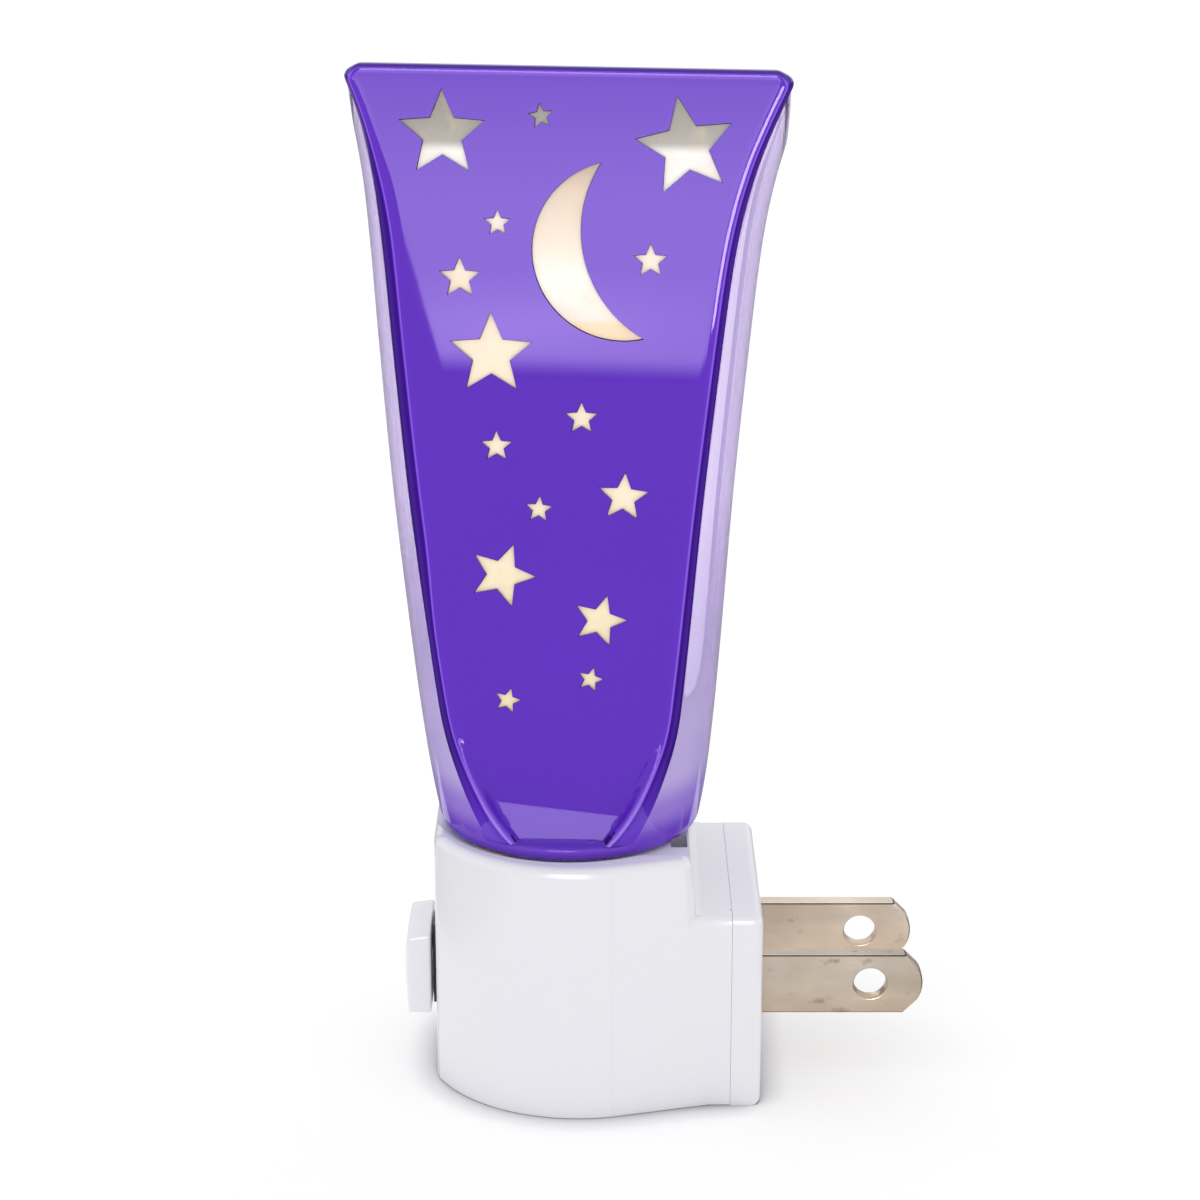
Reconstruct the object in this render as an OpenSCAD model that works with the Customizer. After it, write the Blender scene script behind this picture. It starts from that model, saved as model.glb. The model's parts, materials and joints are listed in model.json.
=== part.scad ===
// Plug-in night light with a turning star shade and a thumb slide switch.
// Millimetres. The origin is on the flat underside, on the axis about which
// the shade turns. +Z is up, and +X is the way the plug blades point.

/* [Housing] */
// Radius of the round nose
nose_r = 15.4; // [15:0.1:16.5]
// Centre of the round nose, from the shade's axis towards the blades
nose_x = 0.8; // [0.4:0.1:1.2]
// Depth of the flat that is cut into the nose for the switch
flat_cut = 1.3; // [0.8:0.1:1.4]
// Rounding along the top of the flat
flat_r = 1.3; // [1.1:0.1:1.6]
// Angle at which the flanks run in from the nose to the plug block
flank_angle = 15; // [12:1:18]
// Height of the round collar under the shade
collar_h = 26.2; // [25.5:0.1:28]
// Rear face of the collar, from the shade's axis
collar_rear = 11.8; // [11.6:0.1:12.4]
// How much further back the foot of the collar's rear face is
rear_lean = 0.4; // [0.2:0.1:0.8]
// Height of the plug block behind the collar
block_h = 20.1; // [19:0.1:21]
// Width of the plug block
block_w = 25; // [24:0.1:26]
// Rear face of the housing, where the back cover joins it
seam_x = 15.8; // [15.4:0.1:16.5]
// Rounding along the top edges
edge_r = 1; // [0.6:0.1:1.4]
// Wall of the housing
wall = 1.8; // [1.4:0.1:2]
// Depth of the recess in the collar's top
recess_d = 0.5; // [0.4:0.1:0.8]
// Height of the two corner posts above the recess floor
post_h = 1.5; // [1:0.1:2]
// Outer side of the corner posts, from the middle
post_y = 8; // [7.5:0.1:9]
// Thickness of the back cover
cover_t = 3; // [2.6:0.1:3.6]
// Height of the lip inside the back cover
lip_l = 2; // [1.5:0.1:3]
// Wall of the lip
lip_t = 1.2; // [1:0.1:1.6]

/* [Blades] */
// Height of a blade
blade_w = 6.35; // [6.2:0.05:6.5]
// Thickness of a blade
blade_t = 1.52; // [1.4:0.02:1.65]
// Distance between the two blades, centre to centre
blade_pitch = 12.7; // [12.6:0.1:12.8]
// Reach of the blades from the plug face
blade_l = 16.2; // [15.8:0.1:18]
// Height of the blades' centre line above the underside
blade_z = 10.6; // [10.4:0.1:11.2]
// Diameter of the hole in a blade
blade_hole_d = 3.25; // [3:0.05:3.5]
// Hole centre from the plug face
blade_hole_x = 11; // [10.5:0.1:11.9]
// Bevel at the blade's tip corners
blade_bevel = 1.4; // [1:0.1:1.8]
// Tail of a blade inside the housing
blade_tail = 3.4; // [3:0.1:4]
// Extra height of the shoulder that holds a blade in the cover, each side
blade_shoulder = 1; // [0.6:0.1:1.4]

/* [Switch] */
// Width of the knob
knob_w = 9.1; // [8:0.1:10]
// Height of the knob
knob_h = 8.5; // [8.4:0.1:9.5]
// Thickness of the knob at its edges
knob_t = 2.25; // [1.8:0.05:2.6]
// Crown of the knob's domed face
knob_crown = 0.5; // [0.2:0.05:0.6]
// How much lower the knob's top is at its face
knob_draft = 0.3; // [0.1:0.1:0.5]
// Gap behind the knob
knob_gap = 0.6; // [0.5:0.05:0.8]
// Width of the dark cover behind the knob that closes the slot
slot_cover_w = 3.9; // [3.8:0.1:4.6]
// Clearance in front of and behind the slot cover
slot_cover_gap = 0.1; // [0.05:0.01:0.15]
// Height of the knob's centre at rest
knob_z = 10.4; // [10:0.1:11]
// Travel of the switch
switch_travel = 2.5; // [2:0.1:2.6]
// Width of the stem behind the knob
stem_w = 3; // [2.6:0.1:4]
// Height of the stem
stem_h = 3; // [2.6:0.1:3.2]
// Running clearance of the switch parts
slide_gap = 0.15; // [0.1:0.01:0.2]
// Width of the carrier inside the nose
carrier_w = 8.8; // [8:0.1:9.2]
// Height of the carrier
carrier_h = 12; // [11:0.1:12.4]
// Thickness of the carrier
carrier_t = 2; // [1.6:0.1:2.1]
// Thickness of the contact bridge
bridge_t = 0.5; // [0.4:0.05:0.6]
// Height of the contact bridge
bridge_h = 3; // [2.5:0.1:3.2]
// Gap left between contacts that touch when pressed
contact_gap = 0.1; // [0.05:0.01:0.15]
// Thickness of the brass strips
strip_t = 0.35; // [0.3:0.05:0.45]
// Height of the brass strips
strip_h = 3; // [2.4:0.1:3.2]
// Half the gap between the two fixed contacts
contact_half = 1.2; // [1:0.1:1.5]

/* [Lamp] */
// Outer radius of the lamp holder
holder_r = 8.4; // [8.2:0.1:8.6]
// Room between the lamp holder's top and the shade's neck
holder_room = 0.9; // [0.6:0.1:2]
// Thickness of the lamp holder's foot
holder_foot = 3.6; // [3:0.1:4]
// Inner radius of the screw shell
shell_r = 6.25; // [6.2:0.05:6.35]
// Thickness of the screw shell
shell_t = 0.4; // [0.3:0.05:0.5]
// Outer radius of the lamp's screw cap
cap_r = 5.95; // [5.8:0.05:6]
// Height of the lamp's screw cap
cap_h = 12.5; // [11:0.1:13.5]
// Thickness of the lamp's screw cap
cap_t = 0.3; // [0.25:0.05:0.4]
// Pitch of the rolled screw thread
thread_pitch = 2.54; // [2.2:0.02:2.8]
// Depth of the rolled screw thread
thread_d = 0.35; // [0.25:0.05:0.4]
// Underside of the lamp, at the tip of its eyelet
lamp_z = 6.4; // [6.2:0.1:6.8]
// Outer radius of the lamp's glass
glass_r = 7.15; // [6.5:0.05:7.3]
// Length of the lamp's glass above the cap
glass_l = 34; // [28:0.5:38]
// Wall of the lamp's glass
glass_t = 0.6; // [0.5:0.05:0.8]
// Height of the glass stem above the cap
stem_rise = 8; // [6:0.5:10]
// Height of the filament's ends above the cap
lead_rise = 19; // [16:0.5:22]
// Half the distance between the filament's ends
lead_half = 3.4; // [2.8:0.1:3.8]

/* [Swivel] */
// Outer radius of the shade's neck
neck_r = 9.1; // [8.9:0.1:9.3]
// Inner radius of the shade's neck
neck_bore = 8; // [7.8:0.1:8.1]
// Length of the neck under the shade's ring
neck_l = 3.7; // [3.6:0.1:4]
// Radial running clearance of the neck
neck_gap = 0.08; // [0.04:0.01:0.1]
// Reach of the snap bead at the end of the neck
bead = 0.5; // [0.3:0.05:0.6]
// Height of the snap bead
bead_h = 0.6; // [0.5:0.05:0.7]
// Wall of the swivel ring's sleeve
sleeve_t = 0.7; // [0.6:0.05:0.8]
// Depth of the swivel ring's sleeve below the collar's recess
sleeve_l = 2.6; // [2.4:0.1:2.7]
// Outer radius of the swivel ring's flange
flange_r = 11.4; // [11:0.1:11.5]
// Thickness of the swivel ring's flange
flange_t = 0.2; // [0.15:0.01:0.24]
// Outer radius of the tab that shows under the shade
tab_r = 13; // [12.6:0.1:13.1]
// Side clearance round the seated parts
seat_gap = 0.05; // [0.03:0.01:0.1]

/* [Shade] */
// How far the shade's ring sits below the collar's rim
ring_sink = 0.2; // [0:0.05:0.3]
// Top of the shade
shade_top = 101.5; // [96:0.5:108]
// Radius of the shade's ring at its underside
ring_r = 12.7; // [12.4:0.1:12.8]
// Widening of the shade's radius for each millimetre of height
shade_slope = 0.082; // [0.07:0.001:0.09]
// Swelling of the shade just above the ring
shade_bulge = 0.9; // [0.5:0.05:1.2]
// Height over which the swelling grows
bulge_l = 6; // [5:0.5:8]
// Extra radius of the flared top
top_flare = 2.9; // [2:0.1:3.2]
// Height at which the flare starts
flare_z = 78; // [74:1:82]
// Wall of the shade's shell
shade_t = 1.2; // [1:0.1:1.5]
// Thickness of the shade's ring plate
ring_t = 1.4; // [1.2:0.1:1.8]
// Front of the star panel, from the shade's axis
panel_y = 10.2; // [9.6:0.1:10.6]
// Thickness of the star panel
panel_t = 1.2; // [0.9:0.1:1.4]
// Height at which the panel starts to curve out to the ring
runout_z = 40.5; // [39:0.5:42]
// Radius of the curve above the foot of the panel
runout_r = 26; // [24:0.5:30]
// Lean of the straight foot of the panel
runout_angle = 10.5; // [9:0.5:12]
// Width of the shade at its top corners
top_w = 39.9; // [38:0.1:41]
// Rounding of the two top corners
top_corner_r = 1.8; // [1.2:0.1:3]
// Rear edge of the side walls, from the shade's axis
wing_y = 2; // [0:0.5:5]
// Rounding where the rear edge turns forward to the top
wing_r = 9; // [5:0.5:10]
// Top of the closed skirt at the back
skirt_z = 35; // [33:0.5:40]
// Rounding where the rear edge meets the skirt
skirt_r = 9; // [5:0.5:10]
// Thickness of the diffuser behind the star panel
diffuser_t = 0.8; // [0.6:0.1:1]
// Gap between the diffuser's sides and the shell
diffuser_gap = 0.3; // [0.2:0.05:0.5]
// How far the shade is turned at rest
shade_turn = -4; // [-10:0.5:10]
// Ratio of a star's inner corners to its points
star_ratio = 0.45; // [0.4:0.01:0.55]

/* [Hidden] */
$fn = 96;
eps = 0.01;
far = 80;
profile_steps = 20;
arc_steps = 10;
// The flanks lie this much inside the nose's round and cross it at a clean edge
flank_set = 0.03;
// Bends of the brass strips stand this much proud of the strip
bend_extra = 0.1;
// The rounding of the flat stands this much above the rim and crosses it
flat_lift = 0.05;

// Each star: across from the middle, up the flat of the panel as a share of
// its height, radius, tilt
stars = [
    [-10.5, 0.8984, 4.1, 0],
    [-1.6, 0.9262, 1.2, 7],
    [11.4, 0.8836, 4.65, 10],
    [-5.6, 0.7672, 1.3, 0],
    [8.3, 0.7131, 1.65, 0],
    [-9.1, 0.6836, 2, 0],
    [-6.3, 0.5673, 4, 0],
    [2, 0.4705, 1.6, 0],
    [-5.9, 0.4245, 1.55, 0],
    [5.9, 0.3475, 2.45, -4],
    [-2, 0.3263, 1.35, -4],
    [-5.5, 0.2197, 3.25, -20],
    [3.7, 0.1492, 2.65, -16],
    [2.8, 0.0525, 1.3, -15],
    [-5.1, 0.0148, 1.35, -15]
];
// The moon is one circle less another: across, up as a share, radius
moon_outer = [5.8, 0.7262, 8.3];
moon_inner = [13.4, 0.7558, 11.4];

nose_flat = nose_r - nose_x - flat_cut;
ring_z = collar_h - ring_sink;
holder_top = ring_z - neck_l - holder_room;
plug_x = seam_x + cover_t;
recess_z = collar_h - recess_d;
recess_r = ring_r + 0.6;
top_wall_z = recess_z - wall;
block_top_in = block_h - wall;
nose_in = nose_flat - wall;
rear_in = collar_rear - wall;
half_in = block_w / 2 - wall;
hole_r = neck_r + neck_gap + sleeve_t + seat_gap;
knob_back = nose_flat + knob_gap;
slot_w = stem_w + 2 * slide_gap;
slot_h = stem_h + switch_travel + 2 * slide_gap;
carrier_front = nose_in - slide_gap;
bridge_front = carrier_front - carrier_t;
strip_face = bridge_front - bridge_t - contact_gap;
pad_x = strip_face - strip_t;
// Foot of the bridge at rest, a contact gap under the fixed strip
strip_z = blade_z - strip_h / 2;
bridge_z = strip_z - bridge_h - contact_gap;
carrier_z = knob_z - stem_h / 2 - carrier_h / 3;
floor_z = wall;
foot_z = floor_z + holder_foot;
shell_z = foot_z + 2;
cap_z = lamp_z + 2.2;
glass_z = cap_z + cap_h;
cap_in = cap_r - thread_d - cap_t - seat_gap;
panel_z = ring_z + ring_t;
panel_back = panel_y - panel_t;
// The diffuser starts a little below the flat, behind the lowest stars
diffuser_foot = runout_z - 2.5;

// ---- shared shapes ----

// Plan seen from the side: draws (y, z) shapes and runs them along X
module along_x(length) {
    rotate([90, 0, 90])
        linear_extrude(length)
            children();
}

// Front view: draws (x, z) shapes and runs them along Y from y0 to y1
module along_y(y0, y1) {
    translate([0, y1, 0])
        rotate([90, 0, 0])
            linear_extrude(y1 - y0)
                children();
}

// Rectangle from the axis to half, with its outer top corner rounded
module rounded_half(half, height) {
    union() {
        square([half, height - edge_r]);
        square([half - edge_r, height]);
        translate([half - edge_r, height - edge_r])
            circle(edge_r);
    }
}

// A closed tube standing on z0
module tube(outer, inner, z0, height) {
    translate([0, 0, z0])
        difference() {
            cylinder(r = outer, h = height);
            translate([0, 0, -eps])
                cylinder(r = inner, h = height + 2 * eps);
        }
}

// A box given by its lowest and highest corners
module box(low, high) {
    translate(low)
        cube(high - low);
}

// Both sides of a shape that is symmetric about y = 0
module both_sides() {
    children();
    mirror([0, 1, 0])
        children();
}

// ---- housing ----

module flank(height) {
    reach = (seam_x - nose_x) / cos(flank_angle);
    both_sides()
        translate([nose_x, 0, 0])
            rotate([0, 0, -flank_angle])
                along_x(reach)
                    rounded_half(nose_r - flank_set, height);
}

module collar_form() {
    intersection() {
        union() {
            translate([nose_x, 0, 0])
                rotate_extrude()
                    rounded_half(nose_r, collar_h);
            flank(collar_h);
        }
        // The rear face leans back a little towards its foot
        along_y(-far, far)
            polygon([
                [-far, 0], [collar_rear + rear_lean, 0],
                [collar_rear + rear_lean, block_h], [collar_rear, collar_h],
                [collar_rear, far], [-far, far]
            ]);
    }
}

module block_form(x0, x1) {
    translate([x0, 0, 0])
        both_sides()
            along_x(x1 - x0)
                rounded_half(block_w / 2, block_h);
}

module flank_run() {
    // The lower flank dies away inside the plug block
    intersection() {
        flank(block_h);
        box([-far, -far, 0], [seam_x - edge_r, far, far]);
    }
}

module flat_side() {
    // Everything behind the nose's flat, whose top edge is rounded
    crown = collar_h - flat_r + flat_lift;
    along_y(-far, far) {
        translate([-nose_flat, -1])
            square([far, crown + 1]);
        translate([flat_r - nose_flat, -1])
            square([far, far]);
        translate([flat_r - nose_flat, crown])
            circle(flat_r);
    }
}

module housing_form() {
    intersection() {
        union() {
            collar_form();
            flank_run();
            block_form(nose_x, seam_x);
        }
        flat_side();
    }
}

module housing_cavity() {
    intersection() {
        translate([nose_x, 0, floor_z])
            cylinder(r = nose_r - wall, h = top_wall_z - floor_z);
        box([-nose_in, -far, 0], [rear_in, far, far]);
    }
    box([nose_x, -half_in, floor_z], [seam_x + eps, half_in, block_top_in]);
}

module corner_posts() {
    difference() {
        both_sides()
            box([recess_r / 2, 0, recess_z - eps], [collar_rear, post_y, recess_z + post_h]);
        cylinder(r = recess_r, h = far);
    }
}

module collar_recess() {
    corner_in = block_w / 2 - edge_r;
    translate([0, 0, recess_z])
        cylinder(r = recess_r, h = far);
    box([recess_r / 2, -corner_in, recess_z], [far, corner_in, far]);
}

module housing() {
    color([0.91, 0.91, 0.93]) {
        difference() {
            housing_form();
            housing_cavity();
            collar_recess();
            translate([0, 0, top_wall_z - eps])
                cylinder(r = hole_r, h = far);
            // Slot in the nose for the knob's stem
            box([-far, -slot_w / 2, knob_z - stem_h / 2 - slide_gap],
                [0, slot_w / 2, knob_z - stem_h / 2 - slide_gap + slot_h]);
        }
        corner_posts();
    }
}

module blade_slots(gap) {
    for (side = [-1, 1])
        translate([0, side * blade_pitch / 2, blade_z])
            box([-far, -blade_t / 2 - gap, -blade_w / 2 - gap],
                [far, blade_t / 2 + gap, blade_w / 2 + gap]);
}

module back_cover() {
    lip_half = half_in - seat_gap;
    color([0.91, 0.91, 0.93])
        difference() {
            union() {
                block_form(seam_x, plug_x);
                difference() {
                    box([seam_x - lip_l, -lip_half, floor_z + seat_gap],
                        [seam_x + eps, lip_half, block_top_in - seat_gap]);
                    box([0, -lip_half + lip_t, floor_z + seat_gap + lip_t],
                        [seam_x, lip_half - lip_t, block_top_in - seat_gap - lip_t]);
                }
            }
            intersection() {
                blade_slots(seat_gap);
                box([seam_x - eps, -far, 0], [far, far, far]);
            }
        }
}

module swivel_ring() {
    color([0.80, 0.73, 0.62]) {
        tube(hole_r - seat_gap, neck_r + neck_gap, recess_z - sleeve_l, sleeve_l + eps);
        tube(flange_r, neck_r + neck_gap, recess_z, flange_t);
        // The tab that shows as a light strip under the shade
        intersection() {
            tube(tab_r, flange_r - eps, recess_z, flange_t);
            rotate([0, 0, 232])
                box([0, -1.7, 0], [far, 1.7, far]);
        }
    }
}

// ---- plug ----

module blade_outline() {
    tip = plug_x + blade_l;
    half = blade_w / 2;
    polygon([
        [seam_x - eps, -half],
        [tip - blade_bevel, -half],
        [tip - blade_bevel / 4, -half + blade_bevel / 2],
        [tip, -half + blade_bevel * 1.4],
        [tip, half - blade_bevel * 1.4],
        [tip - blade_bevel / 4, half - blade_bevel / 2],
        [tip - blade_bevel, half],
        [seam_x - eps, half]
    ]);
}

module blade(side) {
    tail_x = seam_x - blade_tail;
    y = side * blade_pitch / 2;
    color([0.70, 0.65, 0.58])
        difference() {
            translate([0, 0, blade_z])
                along_y(y - blade_t / 2, y + blade_t / 2) {
                    blade_outline();
                    translate([tail_x, -blade_w / 2])
                        square([blade_tail, blade_w]);
                    // Shoulder behind the cover
                    translate([seam_x - strip_h / 2, -blade_w / 2 - blade_shoulder])
                        square([strip_h / 2, blade_w + 2 * blade_shoulder]);
                }
            translate([plug_x + blade_hole_x, y + far / 2, blade_z])
                rotate([90, 0, 0])
                    cylinder(d = blade_hole_d, h = far);
        }
}

module line_blade() blade(1);

module neutral_blade() blade(-1);

// A strip of brass on edge, through a list of (x, y) points
module strip(points) {
    for (i = [0 : len(points) - 2]) {
        step = points[i + 1] - points[i];
        translate([points[i][0], points[i][1], strip_z])
            rotate([0, 0, atan2(step[1], step[0])])
                translate([0, -strip_t / 2, 0])
                    cube([norm(step), strip_t, strip_h]);
    }
    for (i = [1 : len(points) - 2])
        translate([points[i][0], points[i][1], strip_z])
            cylinder(d = strip_t + bend_extra, h = strip_h);
}

blade_side = blade_pitch / 2 + blade_t / 2 + strip_t / 2;
strip_x = -(pad_x + strip_t / 2);
lamp_strip_y = contact_half + strip_h;

module line_strip() {
    run_y = holder_r + 0.8;
    color([0.83, 0.68, 0.35])
        strip([
            [seam_x - blade_tail / 2 - 0.5, blade_side],
            [seam_x - blade_tail - 1, blade_side],
            [run_y - 2, run_y],
            [-4, run_y],
            [strip_x, carrier_w / 2 + 0.6],
            [strip_x, contact_half]
        ]);
}

module neutral_strip() {
    shell_side = shell_r + shell_t + strip_t / 2;
    color([0.83, 0.68, 0.35])
        strip([
            [seam_x - blade_tail / 2 - 0.5, -blade_side],
            [seam_x - blade_tail - 0.5, -blade_side],
            [shell_side + 3.5, -3],
            [shell_side, -2],
            [shell_side, 1.2]
        ]);
}

module lamp_strip() {
    color([0.83, 0.68, 0.35]) {
        box([-strip_face, -lamp_strip_y, foot_z - strip_t], [-pad_x, -contact_half, strip_z + strip_h]);
        box([-strip_face, -lamp_strip_y, foot_z - strip_t], [1.5, -contact_half, foot_z]);
    }
}

module centre_contact() {
    leaf_top = lamp_z - contact_gap / 2;
    color([0.83, 0.68, 0.35])
        difference() {
            // A bowed leaf that stands on the lamp strip and lifts to the eyelet
            along_y(-4, 1.4)
                polygon([
                    [-1.4, foot_z], [1.4, foot_z],
                    [1.4, leaf_top], [-1.4, leaf_top]
                ]);
            box([-far, -1.2, foot_z - eps], [far, far, leaf_top - strip_t]);
            box([-far, -far, foot_z + strip_t], [far, -1.6, far]);
        }
}

// ---- lamp holder ----

module lamp_holder() {
    color([0.94, 0.92, 0.86])
        difference() {
            union() {
                // The round body stops at the contacts where they reach into it
                intersection() {
                    translate([0, 0, floor_z])
                        cylinder(r = holder_r, h = holder_top - floor_z);
                    box([-pad_x, -far, 0], [far, far, far]);
                }
                // Pad that carries the fixed contacts and the brake spring
                box([-pad_x, -carrier_w / 2, floor_z], [-4, carrier_w / 2, holder_top]);
            }
            translate([0, 0, shell_z])
                cylinder(r = shell_r + shell_t + seat_gap, h = far);
            translate([0, 0, foot_z])
                cylinder(r = shell_r - 0.8, h = far);
            // Channel for the lamp strip
            box([-far, -lamp_strip_y - seat_gap, foot_z - strip_t],
                [1.5 + seat_gap, -contact_half + seat_gap, foot_z]);
            // Window for the neutral strip
            box([3, -3.6, strip_z - seat_gap], [far, 1.4, strip_z + strip_h + seat_gap]);
        }
}

// Rolled screw thread as rounded rings on a thin cup
module rolled_cup(outer, thick, z0, height) {
    turns = floor((height - thread_pitch) / thread_pitch);
    rotate_extrude()
        difference() {
            union() {
                translate([0, z0])
                    square([outer - thread_d, height]);
                for (i = [0 : turns - 1])
                    translate([outer - thread_d, z0 + (i + 1) * thread_pitch])
                        circle(thread_d);
            }
            translate([-eps, z0 - eps])
                square([outer - thread_d - thick, height + 2 * eps]);
        }
}

module screw_shell() {
    color([0.83, 0.68, 0.35])
        tube(shell_r + shell_t, shell_r, shell_z, holder_top - shell_z - 0.4);
}

module brake_spring() {
    // A bowed leaf on the pad that holds the carrier where it is put
    low = strip_z + strip_h + 0.6;
    high = low + 4;
    bow = pad_x + (bridge_front - pad_x) - contact_gap;
    color([0.75, 0.75, 0.78])
        along_y(-2, 2)
            polygon([
                [-pad_x, low], [-pad_x - strip_t, low],
                [-bow, (low + high) / 2 - 0.6], [-bow, (low + high) / 2 + 0.6],
                [-pad_x - strip_t, high], [-pad_x, high],
                [-bow + strip_t, (low + high) / 2 + 0.4],
                [-bow + strip_t, (low + high) / 2 - 0.4]
            ]);
}

// ---- lamp ----

module lamp_cap() {
    color([0.78, 0.70, 0.48])
        rolled_cup(cap_r, cap_t, cap_z, cap_h);
}

module lamp_insulator() {
    color([0.12, 0.11, 0.12])
        rotate_extrude()
            polygon([
                [0, lamp_z + 0.5], [2.2, lamp_z + 0.5],
                [cap_in, cap_z], [cap_in, cap_z + 1], [0, cap_z + 1]
            ]);
}

module lamp_eyelet() {
    color([0.75, 0.74, 0.70])
        translate([0, 0, lamp_z])
            cylinder(r = 2, h = 0.5);
}

// Half outline of the lamp's glass, inset by the given amount
function glass_points(inset) = [
    for (i = [0 : arc_steps])
        let (a = 90 * i / arc_steps)
            [(glass_r - inset) * cos(a), glass_z + glass_l - glass_r + (glass_r - inset) * sin(a)]
];

module lamp_glass() {
    neck_in = cap_in;
    color([0.95, 0.95, 0.92, 0.4])
        rotate_extrude()
            polygon(concat(
                [[neck_in - glass_t, glass_z - 3], [neck_in, glass_z - 3],
                 [neck_in, glass_z], [glass_r, glass_z + 3]],
                glass_points(0),
                [for (i = [arc_steps : -1 : 0]) glass_points(glass_t)[i]],
                [[glass_r - glass_t, glass_z + 3.2], [neck_in - glass_t, glass_z + 0.3]]
            ));
}

module lamp_stem() {
    neck_in = cap_in - glass_t;
    color([0.90, 0.92, 0.92, 0.6])
        rotate_extrude()
            polygon([
                [0, glass_z - 3], [neck_in, glass_z - 3], [neck_in, glass_z - 2.4],
                [1.6, glass_z + 1], [1.1, glass_z + stem_rise], [0, glass_z + stem_rise]
            ]);
}

lead_top = glass_z + lead_rise;
lead_run = lead_rise - stem_rise;
filament_lift = 0.3;

module lamp_leads() {
    color([0.72, 0.70, 0.66])
        for (side = [-1, 1]) {
            lean = atan2(lead_half - 0.6, lead_run);
            translate([side * 0.6, 0, glass_z + stem_rise])
                rotate([0, side * lean, 0])
                    cylinder(d = 0.45, h = lead_run / cos(lean));
        }
}

module filament() {
    // A drawn-out coil between the tips of the leads
    color([0.45, 0.43, 0.42])
        for (side = [-1, 1])
            translate([side * lead_half, 0, lead_top + filament_lift])
                rotate([0, -side * 55, 0])
                    cylinder(d = 0.5, h = lead_half / sin(55));
}

// ---- switch ----

module knob_form() {
    // A block with a sloping top, whose front is part of a large sphere
    corner = norm([knob_w, knob_h]) / 2;
    crown_r = (pow(corner, 2) + pow(knob_crown, 2)) / (2 * knob_crown);
    face = knob_back + knob_t + knob_crown;
    low = knob_z - knob_h / 2;
    high = knob_z + knob_h / 2;
    intersection() {
        along_y(-knob_w / 2, knob_w / 2)
            polygon([
                [-face, low], [-knob_back, low],
                [-knob_back, high], [-face, high - knob_draft]
            ]);
        translate([crown_r - face, 0, knob_z])
            sphere(crown_r);
    }
}

module switch_knob() {
    color([0.93, 0.93, 0.94]) {
        knob_form();
        box([-knob_back - eps, -stem_w / 2, knob_z - stem_h / 2],
            [-carrier_front, stem_w / 2, knob_z + stem_h / 2]);
    }
}

module slot_cover() {
    // Rides on the stem and keeps the slot closed at both ends of the travel
    color([0.16, 0.14, 0.15])
        difference() {
            box([-knob_back + slot_cover_gap, -slot_cover_w / 2, knob_z - knob_h / 2],
                [-nose_flat - slot_cover_gap, slot_cover_w / 2, knob_z + knob_h / 2]);
            box([-far, -stem_w / 2 - seat_gap, knob_z - stem_h / 2 - seat_gap],
                [0, stem_w / 2 + seat_gap, knob_z + stem_h / 2 + seat_gap]);
        }
}

module switch_carrier() {
    color([0.20, 0.20, 0.22])
        difference() {
            box([-carrier_front, -carrier_w / 2, carrier_z],
                [-bridge_front, carrier_w / 2, carrier_z + carrier_h]);
            // Long edges cut back to clear the round nose
            both_sides()
                translate([-carrier_front, carrier_w / 2, 0])
                    rotate([0, 0, 45])
                        box([-0.6, -0.6, 0], [0.6, 0.6, far]);
        }
}

module contact_bridge() {
    color([0.83, 0.68, 0.35])
        box([-bridge_front, -4, bridge_z], [-bridge_front + bridge_t, 4, bridge_z + bridge_h]);
}

// ---- shade ----

function shade_r(z) = ring_r + shade_slope * (z - ring_z)
    + shade_bulge * (1 - exp((ring_z - z) / bulge_l))
    + top_flare * pow(max(0, (z - flare_z) / (shade_top - flare_z)), 3);

// Height above the underside of a share of the panel's flat
function up_panel(share) = runout_z + share * (shade_top - runout_z);

function level(i) = ring_z + (shade_top - ring_z) * i / profile_steps;

// The round body of the shade before its front and back are cut away
module turned_body(inset) {
    rotate_extrude()
        polygon(concat(
            [[0, ring_z]],
            [for (i = [0 : profile_steps]) [shade_r(level(i)) - inset, level(i)]],
            [[0, shade_top]]
        ));
}

// Everything in front of the panel's face, moved back by depth
module front_space(depth) {
    run = runout_r + depth;
    mid_y = -panel_y - runout_r;
    bend_y = mid_y + run * cos(runout_angle);
    bend_z = runout_z - run * sin(runout_angle);
    low_z = ring_z - 1;
    translate([-far / 2, 0, 0])
        along_x(far)
            polygon(concat(
                [[-far, shade_top + 5], [depth - panel_y, shade_top + 5]],
                [for (i = [0 : arc_steps])
                    let (a = runout_angle * i / arc_steps)
                        [mid_y + run * cos(a), runout_z - run * sin(a)]],
                [[bend_y - (bend_z - low_z) * tan(runout_angle), low_z], [-far, low_z]]
            ));
}

// Everything behind the rear edges of the side walls, above the skirt
module rear_space() {
    shoulder = 45;
    turn_z = shade_top - (wing_y + panel_back) - wing_r * tan(shoulder / 2);
    translate([-far / 2, 0, 0])
        along_x(far)
            polygon(concat(
                [[-panel_back, shade_top + 5], [-panel_back, shade_top]],
                [for (i = [0 : arc_steps])
                    let (a = shoulder * (1 - i / arc_steps))
                        [wing_y - wing_r + wing_r * cos(a), turn_z + wing_r * sin(a)]],
                [for (i = [0 : arc_steps])
                    let (a = 90 * i / arc_steps)
                        [wing_y + skirt_r - skirt_r * cos(a), skirt_z + skirt_r - skirt_r * sin(a)]],
                [[far, skirt_z], [far, shade_top + 5]]
            ));
}

// Front view of the whole shade, with its two top corners rounded
module front_outline() {
    half = top_w / 2;
    along_y(-far, far) {
        translate([-half, 0])
            square([top_w, shade_top - top_corner_r]);
        translate([-half + top_corner_r, 0])
            square([top_w - 2 * top_corner_r, shade_top]);
        for (side = [-1, 1])
            translate([side * (half - top_corner_r), shade_top - top_corner_r])
                circle(top_corner_r);
    }
}

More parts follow.
